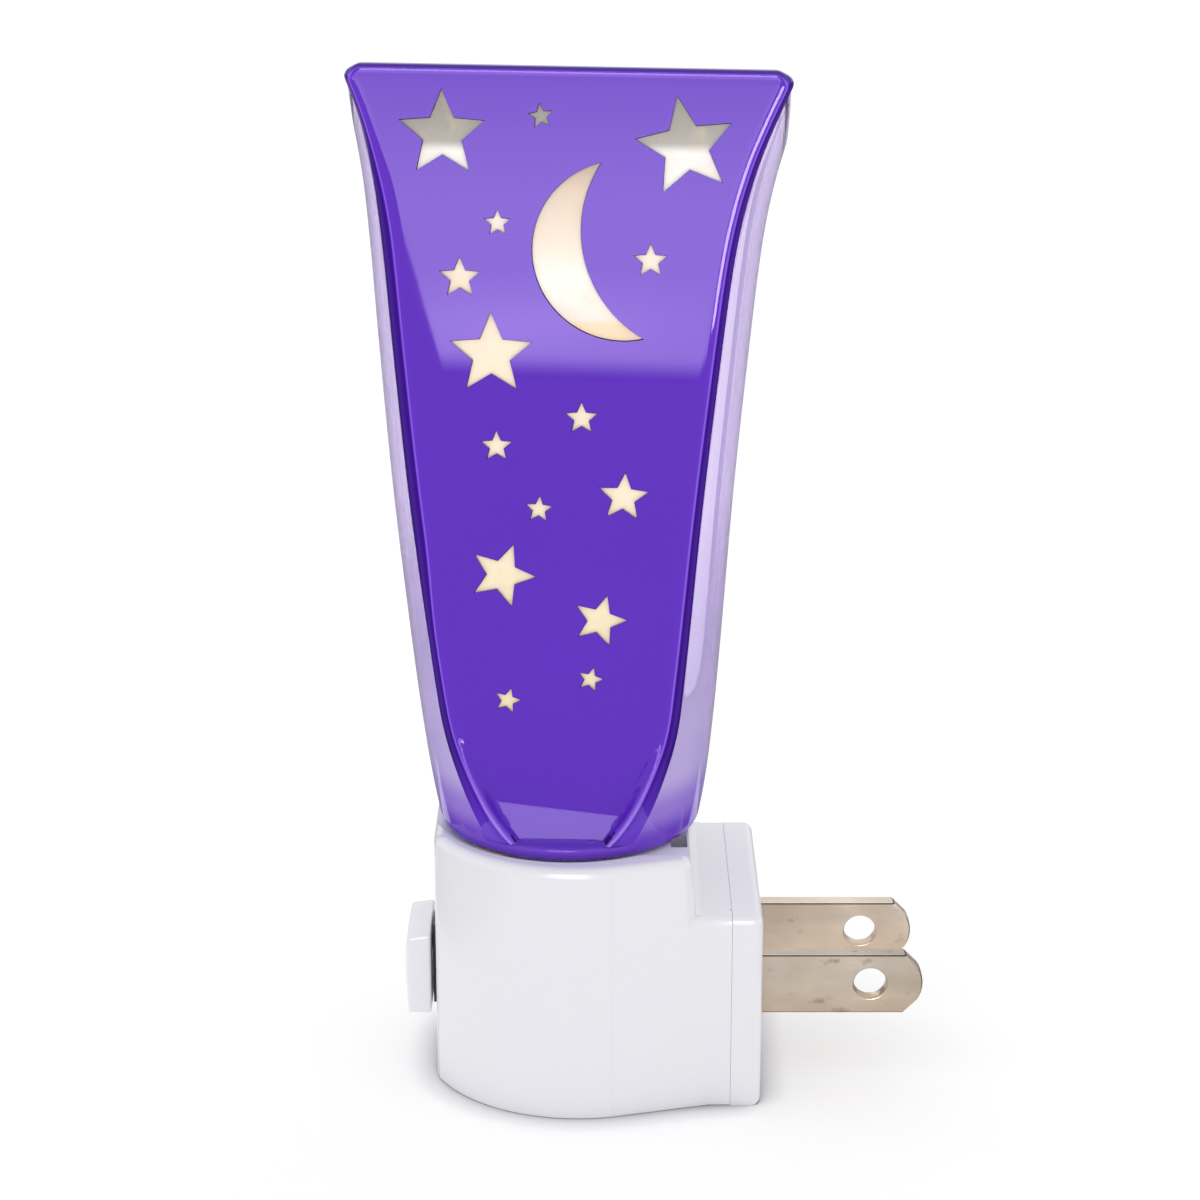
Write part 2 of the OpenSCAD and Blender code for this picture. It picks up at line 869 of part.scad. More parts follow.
module star(radius) {
    polygon([
        for (i = [0 : 9])
            let (r = i % 2 == 0 ? radius : radius * star_ratio, a = 90 + 36 * i)
                [r * cos(a), r * sin(a)]
    ]);
}

module moon() {
    difference() {
        translate([moon_outer[0], up_panel(moon_outer[1])])
            circle(moon_outer[2]);
        translate([moon_inner[0], up_panel(moon_inner[1])])
            circle(moon_inner[2]);
    }
}

module cut_outs() {
    along_y(-panel_y - 1, -panel_back + 1) {
        for (s = stars)
            translate([s[0], up_panel(s[1])])
                rotate(s[3])
                    star(s[2]);
        moon();
    }
}

module shade_shell() {
    bead_z = ring_z - neck_l;
    color([0.66, 0.58, 0.88, 0.6])
        rotate([0, 0, shade_turn]) {
            difference() {
                intersection() {
                    turned_body(0);
                    front_outline();
                }
                intersection() {
                    turned_body(shade_t);
                    box([-far, -far, panel_z], [far, far, 2 * far]);
                }
                intersection() {
                    front_space(panel_t);
                    box([-far, -far, panel_z], [far, far, 2 * far]);
                }
                rear_space();
                translate([0, 0, ring_z - eps])
                    cylinder(r = neck_bore, h = far);
            }
            tube(neck_r, neck_bore, bead_z, neck_l + eps);
            tube(neck_r + bead, neck_r - eps, bead_z, bead_h);
        }
}

module star_panel() {
    color([0.38, 0.20, 0.74])
        rotate([0, 0, shade_turn])
            difference() {
                intersection() {
                    turned_body(0);
                    front_outline();
                    front_space(panel_t);
                    box([-far, -far, panel_z], [far, far, 2 * far]);
                }
                front_space(0);
                cut_outs();
            }
}

module diffuser() {
    color([0.98, 0.92, 0.80])
        rotate([0, 0, shade_turn])
            intersection() {
                turned_body(shade_t + diffuser_gap);
                front_outline();
                box([-far, -panel_back, diffuser_foot], [far, -panel_back + diffuser_t, shade_top - shade_t]);
            }
}

// ---- assembly ----

housing();
back_cover();
swivel_ring();
line_blade();
neutral_blade();
line_strip();
neutral_strip();
lamp_strip();
lamp_holder();
screw_shell();
centre_contact();
brake_spring();
lamp_cap();
lamp_insulator();
lamp_eyelet();
lamp_glass();
lamp_stem();
lamp_leads();
filament();
switch_knob();
slot_cover();
switch_carrier();
contact_bridge();
shade_shell();
star_panel();
diffuser();
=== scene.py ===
"""Looks of the plug-in night light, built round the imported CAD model.

Shapes are worked out in millimetres in the CAD frame and made in metres:
the origin is on the flat underside, on the axis about which the shade turns,
+Z is up, +X is the way the blades point and -Y is towards the camera.
"""

import json
import math

import bmesh
import bpy
from mathutils import Matrix, Vector


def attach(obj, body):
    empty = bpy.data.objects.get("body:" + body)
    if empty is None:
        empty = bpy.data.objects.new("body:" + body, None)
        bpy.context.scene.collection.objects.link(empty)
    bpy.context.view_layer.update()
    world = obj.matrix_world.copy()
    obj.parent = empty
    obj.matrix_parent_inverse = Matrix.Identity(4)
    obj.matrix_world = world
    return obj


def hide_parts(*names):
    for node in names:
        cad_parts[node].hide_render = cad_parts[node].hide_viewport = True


MM = 0.001

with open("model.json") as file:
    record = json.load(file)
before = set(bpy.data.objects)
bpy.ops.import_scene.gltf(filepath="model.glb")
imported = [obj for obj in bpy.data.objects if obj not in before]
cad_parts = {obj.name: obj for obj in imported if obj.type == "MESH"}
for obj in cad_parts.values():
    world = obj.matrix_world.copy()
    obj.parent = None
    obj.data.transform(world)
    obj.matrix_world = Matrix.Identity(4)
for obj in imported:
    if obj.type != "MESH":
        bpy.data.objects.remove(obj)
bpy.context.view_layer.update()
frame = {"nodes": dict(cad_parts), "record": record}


# ---------------- sizes

NOSE_R, NOSE_X, NOSE_FLAT, FLANK_ANGLE = 15.4, 0.8, 13.3, 15
COLLAR_H, COLLAR_REAR, REAR_LEAN = 26.2, 11.8, 0.4
BLOCK_H, BLOCK_W, SEAM_X, COVER_T = 20.1, 25.0, 15.8, 3.0
PLUG_X = SEAM_X + COVER_T
RECESS_Z, RECESS_R = 25.7, 13.3
EDGE_R = 1.0
WALL = 1.8
HOLE_R, CAVITY_X, CAVITY_R, BLOCK_IN, NOTCH_Z = 9.93, 0.3, 11.2, 10.7, 21.5
BLADE_Z, BLADE_HALF, BLADE_T, BLADE_PITCH = 10.6, 3.175, 1.52, 12.7
KNOB_Z = 10.4

RING_Z, SHADE_TOP, PANEL_Z = 26.0, 101.5, 27.4
PANEL_Y, PANEL_T, RUNOUT_Z, RUNOUT_R, RUNOUT_ANGLE = 10.2, 1.2, 40.5, 26.0, 10.5
TOP_HALF, TOP_CORNER = 19.95, 1.8
SHADE_TURN = -4.0
SHADE_WALL = 1.2
SEAT = 0.3  # How far the walls run into the panel
BODY_R, TAPER, SWELL, SWELL_H, FLARE, FLARE_Z = 12.7, 0.082, 0.9, 6.0, 2.9, 78.0  # Turned body
SKIRT_Z, SKIRT_R = 35.0, 9.0
BEYOND = 40.0  # Cutters run out this far past a piece


# ---------------- materials

def rgb(red, green, blue):
    """An sRGB colour, 0 to 255, as the linear colour that a shader takes."""

    def linear(value):
        value /= 255
        return value / 12.92 if value < 0.04045 else ((value + 0.055) / 1.055) ** 2.4

    return (linear(red), linear(green), linear(blue), 1)


def grey(value):
    return (value, value, value, 1)


def dimmed(colour, share):
    """A share of a colour."""
    return tuple(c * share for c in colour[:3]) + (1,)


class Shader:
    """A small builder of node trees round one Principled shader."""

    def __init__(self, name, **sockets):
        self.material = bpy.data.materials.new(name)
        self.material.use_nodes = True
        self.tree = self.material.node_tree
        self.bsdf = self.tree.nodes["Principled BSDF"]
        self.place = None
        for socket, value in sockets.items():
            self.bsdf.inputs[socket.replace("_", " ")].default_value = value

    def node(self, kind, **settings):
        node = self.tree.nodes.new("ShaderNode" + kind)
        for name, value in settings.items():
            setattr(node, name, value)
        return node

    def link(self, source, target):
        self.tree.links.new(source, target)

    def point(self):
        """The point of the piece in its own space, in metres."""
        if self.place is None:
            self.place = self.node("TexCoord").outputs["Object"]
        return self.place

    def noise(self, scale, detail, stretch=(1, 1, 1)):
        place = self.point()
        if stretch != (1, 1, 1):
            mapping = self.node("Mapping")
            mapping.inputs["Scale"].default_value = stretch
            self.link(place, mapping.inputs["Vector"])
            place = mapping.outputs["Vector"]
        noise = self.node("TexNoise")
        noise.inputs["Scale"].default_value = scale
        noise.inputs["Detail"].default_value = detail
        self.link(place, noise.inputs["Vector"])
        return noise.outputs["Fac"]

    def ramp(self, source, stops, smooth=False):
        """A colour ramp of (position, colour) stops. A number stands for a grey."""
        ramp = self.node("ValToRGB")
        if smooth:
            ramp.color_ramp.interpolation = "EASE"
        elements = ramp.color_ramp.elements
        while len(elements) < len(stops):
            elements.new(1)
        for element, (position, colour) in zip(elements, stops):
            element.position = position
            element.color = colour if isinstance(colour, tuple) else grey(colour)
        self.link(source, ramp.inputs["Fac"])
        return ramp.outputs["Color"]

    def map(self, source, curve="LINEAR", **limits):
        """A value carried from one range to another, by default both from 0 to 1."""
        span = self.node("MapRange", interpolation_type=curve)
        for limit, value in limits.items():
            span.inputs[limit.replace("_", " ").title()].default_value = value
        self.link(source, span.inputs["Value"])
        return span.outputs["Result"]

    def along(self, axis):
        """How far a point lies along an axis."""
        split = self.node("SeparateXYZ")
        self.link(self.point(), split.inputs["Vector"])
        return split.outputs[axis]

    def span(self, axis, low, high):
        """0 to 1 over a range along an axis, in millimetres."""
        return self.map(self.along(axis), from_min=low * MM, from_max=high * MM)

    def mix(self, share, first, second, blend="MIX"):
        mix = self.node("Mix", data_type="RGBA", blend_type=blend)
        for value, socket in ((share, 0), (first, 6), (second, 7)):
            if isinstance(value, (int, float, tuple)):
                mix.inputs[socket].default_value = value
            else:
                self.link(value, mix.inputs[socket])
        return mix.outputs[2]

    def colour(self, source):
        self.link(source, self.bsdf.inputs["Base Color"])

    def rough(self, source, low, high):
        self.link(self.map(source, to_min=low, to_max=high), self.bsdf.inputs["Roughness"])

    def bump(self, source, depth, strength=1):
        """Bump of a depth in millimetres."""
        bump = self.node("Bump")
        bump.inputs["Strength"].default_value = strength
        bump.inputs["Distance"].default_value = depth * MM
        self.link(source, bump.inputs["Height"])
        self.link(bump.outputs["Normal"], self.bsdf.inputs["Normal"])


def white_plastic(name, colour):
    s = Shader(name, IOR=1.5)
    s.colour(s.mix(s.noise(900, 3), colour, dimmed(colour, 0.985)))
    s.rough(s.noise(40, 1), 0.2, 0.24)
    return s.material


def nickel_plate(name):
    """Plated blades: dull and clouded, with painted shade along their edges and the far blade
    painted lighter.
    """
    s = Shader(name, Metallic=1.0)
    cloud = s.noise(260, 5, (0.5, 1, 1))
    stain = s.noise(900, 5, (0.6, 1, 1))
    base = s.ramp(cloud, [(0.32, rgb(176, 165, 152)), (0.68, rgb(196, 186, 174))])
    spots = s.ramp(stain, [(0.62, 0), (0.8, 0.7)])
    tone = s.mix(spots, base, rgb(122, 106, 90))
    # Painted light: the far blade is painted lighter than the near one
    far = s.ramp(s.span("Y", -1, 1), [(0, 1), (1, 1.42)])
    tone = s.mix(1.0, tone, far, "MULTIPLY")
    # Painted shade: darker along the bottom edge, and a thin dark line just under the top edge
    edge = s.ramp(s.span("Z", BLADE_Z - BLADE_HALF, BLADE_Z + BLADE_HALF), [
        (0.0, rgb(120, 104, 90)), (0.03, rgb(250, 240, 228)), (0.955, rgb(255, 255, 255)),
        (0.97, rgb(70, 58, 48)), (0.985, rgb(84, 70, 58)), (0.99, rgb(255, 255, 255)),
    ])
    s.colour(s.mix(1.0, tone, edge, "MULTIPLY"))
    s.rough(s.noise(900, 4, (0.15, 1, 1)), 0.26, 0.42)
    s.bump(s.noise(2600, 3, (0.2, 1, 1)), 0.004, 0.5)
    return s.material


def metal(name, colour, low, high):
    s = Shader(name, Metallic=1.0)
    s.colour(s.mix(s.noise(500, 4), colour, dimmed(colour, 0.85)))
    s.rough(s.noise(800, 3), low, high)
    return s.material


def matte(name, colour, low, high):
    s = Shader(name, IOR=1.5)
    s.colour(s.mix(s.noise(700, 4), colour, dimmed(colour, 0.93)))
    s.rough(s.noise(500, 3), low, high)
    s.bump(s.noise(1800, 3), 0.006, 0.5)
    return s.material


def clear_glass(name, colour):
    s = Shader(name, IOR=1.45, Roughness=0.02, Transmission_Weight=1)
    s.colour(s.mix(s.noise(300, 2), colour, dimmed(colour, 0.98)))
    return s.material


def clear_purple(name):
    """Clear shell: pale lavender walls, less clear towards the ring, with painted shade that
    deepens their colour towards the ring and towards the rear.
    """
    s = Shader(name, IOR=1.4, Roughness=0.03, Specular_Tint=(0.75, 0.6, 1, 1))
    up = s.span("Z", 24, 60)
    # Painted shade: the colour deepens towards the ring, where more layers of wall stand behind one
    # another
    tone = s.ramp(up, [
        (0.0, rgb(112, 58, 214)), (0.09, rgb(124, 74, 222)), (0.17, rgb(172, 142, 237)),
        (0.27, rgb(216, 198, 250)), (0.45, rgb(228, 213, 254)), (1.0, rgb(231, 216, 255)),
    ], smooth=True)
    # Painted shade: the walls are painted deeper in tone towards the rear, where the view passes
    # through more wall
    deep = s.ramp(s.span("Y", -8, 1), [
        (0.0, 1), (0.45, (0.9, 0.87, 0.96, 1)), (1.0, (0.78, 0.72, 0.92, 1)),
    ])
    tone = s.mix(1.0, tone, deep, "MULTIPLY")
    clear = s.ramp(s.span("Z", 27, 60), [(0.0, 0.25), (0.25, 0.35), (0.55, 0.65), (1.0, 0.94)])
    s.link(clear, s.bsdf.inputs["Transmission Weight"])
    s.colour(s.mix(s.noise(240, 2), tone, s.mix(0.04, tone, rgb(120, 80, 220))))
    return s.material


def purple_panel(name):
    """Glossy purple front. Its rounded border has painted shade in dark bands and a painted
    highlight in one lighter line, and the walls of its cut-outs are painted dark as shade.
    """
    s = Shader(name, IOR=1.5, Roughness=0.02, Specular_Tint=(0.8, 0.64, 1, 1))
    face = s.mix(s.noise(60, 1), rgb(89, 31, 189), rgb(86, 30, 184))
    rim = s.node("Attribute", attribute_name="rim").outputs["Fac"]
    # 0.5 is the edge between the face and the side; 0.1 is 0.3 mm
    # Painted shade in the dark bands and a painted highlight in the lighter line
    band = s.ramp(rim, [
        (0.3, rgb(89, 31, 189)), (0.43, rgb(92, 34, 192)), (0.47, rgb(146, 100, 236)),
        (0.5, rgb(130, 82, 226)), (0.53, rgb(70, 24, 160)), (0.6, rgb(52, 16, 130)),
        (0.68, rgb(66, 26, 142)), (0.78, rgb(74, 30, 152)), (0.86, rgb(52, 17, 124)),
        (1.0, rgb(46, 13, 112)),
    ])
    # Painted highlight: the band is painted lighter at the foot
    foot = s.ramp(rim, [
        (0.3, rgb(89, 31, 189)), (0.47, rgb(160, 122, 240)), (0.52, rgb(130, 86, 224)),
        (0.58, rgb(84, 34, 176)), (0.8, rgb(96, 48, 196)),
    ])
    band = s.mix(s.span("Z", 29, 36), foot, band)
    painted_rim_mask = s.ramp(rim, [(0.05, 0), (0.3, 1)])
    # Painted shade: the walls of the cut-outs are painted near black purple
    hole = s.node("Attribute", attribute_name="hole").outputs["Fac"]
    s.colour(s.mix(hole, s.mix(painted_rim_mask, face, band), rgb(40, 12, 84)))
    return s.material


def cream_diffuser(name):
    """Film behind the cut-outs: painted reflection makes it grey at the top, then it is white, then
    cream. The moon has its own ramp, with a painted reflection that darkens its top.
    """
    s = Shader(name, IOR=1.5, Roughness=0.25)
    up = s.span("Z", 38, 100)
    # Painted reflection: the film is painted grey at its top
    tone = s.ramp(up, [
        (0.0, rgb(255, 234, 196)), (0.45, rgb(255, 238, 208)), (0.7, rgb(252, 228, 204)),
        (0.78, rgb(250, 234, 220)), (0.86, rgb(246, 241, 236)), (0.9, rgb(244, 240, 235)),
        (0.912, rgb(164, 156, 147)), (0.935, rgb(148, 141, 132)), (1.0, rgb(128, 121, 112)),
    ])
    # Painted reflection: the moon's ramp darkens to tan at its top
    moon = s.ramp(up, [
        (0.5, rgb(252, 216, 176)), (0.645, rgb(253, 220, 182)), (0.652, rgb(250, 232, 220)),
        (0.71, rgb(255, 246, 236)), (0.78, rgb(240, 218, 198)), (0.84, rgb(222, 198, 174)),
        (0.88, rgb(190, 164, 140)), (0.9, rgb(170, 144, 120)),
    ])
    on_moon = s.node("Attribute", attribute_name="moon").outputs["Fac"]
    stain = s.ramp(s.noise(420, 3), [(0.5, 0), (0.8, 0.35)])
    s.colour(s.mix(stain, s.mix(on_moon, tone, moon), rgb(222, 196, 160)))
    return s.material


MATERIALS = {name: make(name, *looks) for name, make, *looks in [
    ("white_plastic", white_plastic, rgb(233, 232, 237)),
    ("knob_plastic", white_plastic, rgb(236, 235, 240)),
    ("tan_acetal", matte, rgb(214, 203, 180), 0.4, 0.5),
    ("nickel_plate", nickel_plate),
    ("brass_strip", metal, rgb(214, 184, 112), 0.2, 0.35),
    ("spring_steel", metal, rgb(190, 190, 194), 0.25, 0.35),
    ("holder_plastic", matte, rgb(238, 233, 218), 0.4, 0.55),
    ("cap_metal", metal, rgb(208, 190, 140), 0.25, 0.4),
    ("cap_insulator", matte, rgb(34, 32, 36), 0.15, 0.25),
    ("solder", metal, rgb(196, 194, 190), 0.3, 0.45),
    ("lamp_glass", clear_glass, (0.97, 0.97, 0.96, 1)),
    ("stem_glass", clear_glass, (0.92, 0.95, 0.94, 1)),
    ("lead_wire", metal, rgb(184, 178, 168), 0.25, 0.4),
    ("tungsten", metal, rgb(90, 86, 84), 0.3, 0.5),
    ("carrier_plastic", matte, rgb(62, 58, 62), 0.35, 0.5),
    ("clear_purple", clear_purple),
    ("purple_panel", purple_panel),
    ("cream_diffuser", cream_diffuser),
]}


# ---------------- mesh tools

def in_scene(name, data):
    """A new object in the scene, with this mesh, curve or camera."""
    piece = bpy.data.objects.new(name, data)
    bpy.context.scene.collection.objects.link(piece)
    return piece


def mesh_piece(name, vertices, faces):
    """A piece from points in millimetres."""
    mesh = bpy.data.meshes.new(name)
    mesh.from_pydata([Vector(v) * MM for v in vertices], [], faces)
    mesh.validate()
    piece = in_scene(name, mesh)
    clean(piece)
    return piece


def clean(piece, sharp=None):
    """Weld the piece, face it outwards and shade it smooth, but for edges over sharp degrees."""
    bm = bmesh.new()
    bm.from_mesh(piece.data)
    bmesh.ops.remove_doubles(bm, verts=bm.verts, dist=1e-6)
    bmesh.ops.recalc_face_normals(bm, faces=bm.faces)
    for face in bm.faces:
        face.smooth = True
    if sharp is not None:
        for edge in bm.edges:
            edge.smooth = edge.calc_face_angle(0) < math.radians(sharp)
    bm.to_mesh(piece.data)
    bm.free()


def modify(piece, kind, **settings):
    """Apply one modifier to the piece's mesh."""
    modifier = piece.modifiers.new(kind.title(), kind)
    for name, value in settings.items():
        setattr(modifier, name, value)
    graph = bpy.context.evaluated_depsgraph_get()
    mesh = bpy.data.meshes.new_from_object(
        piece.evaluated_get(graph), preserve_all_data_layers=True, depsgraph=graph
    )
    piece.modifiers.clear()
    piece.data = mesh


def cut(piece, cutters):
    """Cut the cutters out of the piece, and remove them."""
    for cutter in cutters:
        modify(piece, "BOOLEAN", object=cutter, operation="DIFFERENCE", solver="MANIFOLD")
        bpy.data.objects.remove(cutter)


def weigh_normals(piece, sharp):
    """Shade flat faces flat beside their rounded edges."""
    clean(piece, sharp)
    modify(piece, "WEIGHTED_NORMAL", keep_sharp=True, weight=100)


def finish_piece(piece, body, material, *nodes):
    """Give the piece its material and slot, stand it for its nodes and ride it on a body."""
    piece.data.materials.clear()
    piece.data.materials.append(MATERIALS[material])
    if nodes:
        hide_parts(*nodes)
    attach(piece, body)
    return piece


def band(count, low, high):
    """Faces that join two closed loops of points, which begin at low and at high."""
    steps = [(i, (i + 1) % count) for i in range(count)]
    return [(low + i, low + k, high + k, high + i) for i, k in steps]


def spread(first, last, steps):
    """Evenly spread values from the first to the last."""
    return [first + (last - first) * i / steps for i in range(steps + 1)]


def prism(name, outline, low, high, place):
    """A closed prism: outline points (a, b) between two levels, placed by place(a, b, level)."""
    count = len(outline)
    vertices = [place(a, b, level) for level in (low, high) for a, b in outline]
    caps = [list(range(count)), list(range(count, 2 * count))]
    return mesh_piece(name, vertices, caps + band(count, 0, count))


def upright(a, b, level):
    return (a, b, level)


def facing(a, b, level):
    """Outline across X and up Z, run along Y."""
    return (a, level, b)


def along(a, b, level):
    """Outline across Y and up Z, run along X."""
    return (level, a, b)


def box(low_a, low_b, high_a, high_b):
    """Outline of a rectangle, from its low corner to its high one."""
    return [(low_a, low_b), (high_a, low_b), (high_a, high_b), (low_a, high_b)]


def circle(x, y, radius, count, start=0.0, turn=360.0):
    """Points of an arc, the last one included only if the arc isn't a full turn."""
    last = count if turn == 360 else count - 1
    angles = [math.radians(start + turn * i / last) for i in range(count)]
    return [(x + radius * math.cos(a), y + radius * math.sin(a)) for a in angles]


def bevel_edges(piece, chosen, width, segments=4, clamp=True):
    """Round the edges that chosen picks, by a width in millimetres."""
    bm = bmesh.new()
    bm.from_mesh(piece.data)
    edges = [e for e in bm.edges if e.is_manifold and chosen(e)]
    bmesh.ops.bevel(
        bm, geom=edges, offset=width * MM, offset_type="OFFSET", segments=segments,
        profile=0.5, affect="EDGES", clamp_overlap=clamp,
    )
    bm.to_mesh(piece.data)
    bm.free()


def ends(edge):
    """Both ends of an edge, in millimetres."""
    return [vertex.co / MM for vertex in edge.verts]


def where(test):
    """A choice of the edges whose both ends pass a test."""
    return lambda edge: all(test(end) for end in ends(edge))


# ---------------- base

def plan_outline():
    """The whole base seen from above, anticlockwise from the seam's near corner."""
    half = BLOCK_W / 2
    flank = math.radians(FLANK_ANGLE)
    touch_x, touch_y = NOSE_X + NOSE_R * math.sin(flank), NOSE_R * math.cos(flank)
    meet_x = touch_x + (touch_y - half) / math.tan(flank)
    flat_y = math.sqrt(NOSE_R**2 - (NOSE_FLAT + NOSE_X) ** 2)
    low = math.degrees(math.atan2(touch_y, touch_x - NOSE_X))
    high = math.degrees(math.atan2(flat_y, -NOSE_FLAT - NOSE_X))
    arc = circle(NOSE_X, 0, NOSE_R, 44, low, high - low)
    foot_x = COLLAR_REAR + REAR_LEAN
    far_side = [(SEAM_X, half), (meet_x, half), (foot_x, y_flank(foot_x))] + arc
    return far_side + [(x, -y) for x, y in reversed(far_side)]


def y_flank(x):
    """Half width of the base at x, on the flank."""
    a = math.radians(FLANK_ANGLE)
    return (NOSE_R - (x - NOSE_X) * math.sin(a)) / math.cos(a)


def base_housing():
    outline = plan_outline()
    count = len(outline)
    vertices = [(x, y, z) for z in (0.0, BLOCK_H) for x, y in outline]
    # The collar leaves out the two seam corners and the two block corners. Its rear
    # wall leans: its top stands further forward than its foot
    top = [(x, y, COLLAR_H) for x, y in outline[2:-2]]
    for i, side in ((0, 1), (-1, -1)):
        top[i] = (COLLAR_REAR, side * y_flank(COLLAR_REAR), COLLAR_H)
    faces = [list(range(count))] + band(count, 0, count)
    faces += band(len(top), count + 2, 2 * count)
    # The collar's top, and the ledge over the plug block
    faces.append([2 * count + i for i in range(len(top))])
    faces.append([count + i % count for i in range(-3, 3)])
    piece = mesh_piece("base_housing", vertices + top, faces)
    rear_wall = where(lambda p: COLLAR_REAR - 0.02 < p.x < COLLAR_REAR + REAR_LEAN + 0.02)
    on_block = where(lambda p: abs(p.z - BLOCK_H) < 0.01)
    on_top = where(lambda p: abs(p.z - COLLAR_H) < 0.01)

    def flat_corner(edge):
        p, q = ends(edge)
        return max(p.x, q.x) < 0.01 - NOSE_FLAT and abs(p.z - q.z) > 1

    bevel_edges(piece, flat_corner, 0.7)

    def upper(edge):
        p, q = ends(edge)
        corner = (
            rear_wall(edge) and abs(p.y) > 12.5
            and abs(p.z - q.z) > 1 and min(p.z, q.z) > BLOCK_H - 0.01
        )
        ledge = (
            on_block(edge) and min(p.x, q.x) > COLLAR_REAR + REAR_LEAN - 0.01
            and abs(p.y - q.y) < 2 and abs(p.y) > 10
        )
        return on_top(edge) or corner or ledge

    bevel_edges(piece, upper, EDGE_R, 5, clamp=False)

    def junction(edge):
        p, q = ends(edge)
        return rear_wall(edge) and on_block(edge) and abs(p.y - q.y) > 5

    bevel_edges(piece, junction, 0.9, 5)
    bevel_edges(piece, where(lambda p: abs(p.x - SEAM_X) < 0.01), 0.05, 2)

    def foot(edge):
        p, q = ends(edge)
        return p.z < 0.01 and q.z < 0.01 and min(p.x, q.x) < SEAM_X - 0.1

    bevel_edges(piece, foot, 0.25, 3)

    corner = BLOCK_W / 2 - EDGE_R
    slot_half, slot_low, slot_high = 1.65, 8.75, 14.55
    notch = box(9.9, 4.6, 11.5, 8.3)
    cuts = [
        ("recess", circle(0, 0, RECESS_R, 160), RECESS_Z, BEYOND, upright),
        ("rear", box(RECESS_R / 2, -corner, BEYOND, corner), RECESS_Z, BEYOND, upright),
        ("hole", circle(0, 0, HOLE_R, 96), RECESS_Z - WALL - 1, BEYOND, upright),
        ("cavity", circle(CAVITY_X, 0, CAVITY_R, 64), WALL, RECESS_Z - WALL, upright),
        ("block", box(2, -BLOCK_IN, SEAM_X + 1, BLOCK_IN), WALL, BLOCK_H - WALL, upright),
        ("slot", box(-slot_half, slot_low, slot_half, slot_high), -BEYOND / 2, -5, along),
        # Deep notches in the corners behind the ring
        ("near_notch", [(x, -y) for x, y in notch], NOTCH_Z, BEYOND, upright),
        ("far_notch", notch, NOTCH_Z, BEYOND, upright),
        # The chip beside the seam, on the edge of the ledge
        ("chip", circle(SEAM_X - 0.1, -10.5, 0.16, 7), BLOCK_H - 0.12, BEYOND, upright),
    ]
    cut(piece, [prism("cut_" + name, *shape) for name, *shape in cuts])
    weigh_normals(piece, 32)
    return finish_piece(piece, "base", "white_plastic", "housing")


def parting_line():
    """Fine raised line that the mould left down the near side of the casing."""
    x, radius, sunk = 4.15, 0.08, 0.05
    y = -math.sqrt(NOSE_R**2 - (x - NOSE_X) ** 2)
    outline = circle(x, y + sunk, radius, 12)
    line = prism("parting_line", outline, 0.4, COLLAR_H - EDGE_R, upright)
    clean(line, 60)
    return finish_piece(line, "base", "white_plastic")


def rear_cover():
    half = BLOCK_W / 2
    piece = prism("rear_cover", box(-half, 0, half, BLOCK_H), SEAM_X + 0.01, PLUG_X, along)

    def long_top(edge):
        p, q = ends(edge)
        return p.z > BLOCK_H - 0.01 and q.z > BLOCK_H - 0.01 and abs(p.x - q.x) > 1

    rear = where(lambda p: p.x > PLUG_X - 0.01)
    bevel_edges(piece, lambda e: long_top(e) or rear(e), 0.9, 5)
    bevel_edges(piece, where(lambda p: p.x < SEAM_X + 0.02), 0.05, 2)
    half_y, half_z = BLADE_T / 2 + 0.05, BLADE_HALF + 0.05
    for y in (-BLADE_PITCH / 2, BLADE_PITCH / 2):
        outline = box(y - half_y, BLADE_Z - half_z, y + half_y, BLADE_Z + half_z)
        cut(piece, [prism("cut_blade", outline, SEAM_X - 5, PLUG_X + 5, along)])
    weigh_normals(piece, 32)
    return finish_piece(piece, "base", "white_plastic", "back_cover")


def flat_plate(name, outlines, thickness, rounding):
    """A plate from closed outlines in X and Z, the first the outside and the rest holes."""
    curve = bpy.data.curves.new(name, "CURVE")
    curve.dimensions = "2D"
    curve.fill_mode = "BOTH"
    curve.extrude = (thickness / 2 - rounding) * MM
    curve.bevel_depth = rounding * MM
    curve.bevel_resolution = 3
    curve.offset = -rounding * MM
    for outline in outlines:
        spline = curve.splines.new("POLY")
        spline.points.add(len(outline) - 1)
        for point, (x, z) in zip(spline.points, outline):
            point.co = (x * MM, z * MM, 0, 1)
        spline.use_cyclic_u = True
    shape = in_scene(name, curve)
    graph = bpy.context.evaluated_depsgraph_get()
    mesh = bpy.data.meshes.new_from_object(shape.evaluated_get(graph), depsgraph=graph)
    bpy.data.objects.remove(shape)
    mesh.transform(Matrix.Rotation(math.pi / 2, 4, "X"))
    return in_scene(name, mesh)


def blade(side):
    """One flat blade with bevelled corners and a bowed tip."""
    tip, half, bevel, bow = PLUG_X + 16.2, BLADE_HALF, 1.4, 0.5
    root, lug, lug_x = SEAM_X - 3.4, 1, SEAM_X - 1.5
    outline = [(SEAM_X, -half), (tip - bevel - bow, -half), (tip - bow, -half + bevel)]
    rise = half - bevel
    radius = (rise**2 + bow**2) / (2 * bow)
    swing = math.degrees(math.asin(rise / radius))
    outline += circle(tip - radius, 0, radius, 9, -swing, 2 * swing)[1:-1]
    outline += [(tip - bow, half - bevel), (tip - bevel - bow, half), (SEAM_X, half)]
    outline += [
        (SEAM_X, half + lug), (lug_x, half + lug), (lug_x, half), (root, half),
        (root, -half), (lug_x, -half), (lug_x, -half - lug), (SEAM_X, -half - lug),
    ]
    outline = [(x, z + BLADE_Z) for x, z in outline]
    hole = circle(PLUG_X + 11, BLADE_Z, 3.25 / 2, 48)
    name = "plug_blade_" + ("far" if side > 0 else "near")
    piece = flat_plate(name, [outline, hole], BLADE_T, 0.16)
    piece.data.transform(Matrix.Translation((0, side * BLADE_PITCH / 2 * MM, 0)))
    clean(piece, 40)
    weigh_normals(piece, 40)
    node = "line_blade" if side > 0 else "neutral_blade"
    return finish_piece(piece, "base", "nickel_plate", node)


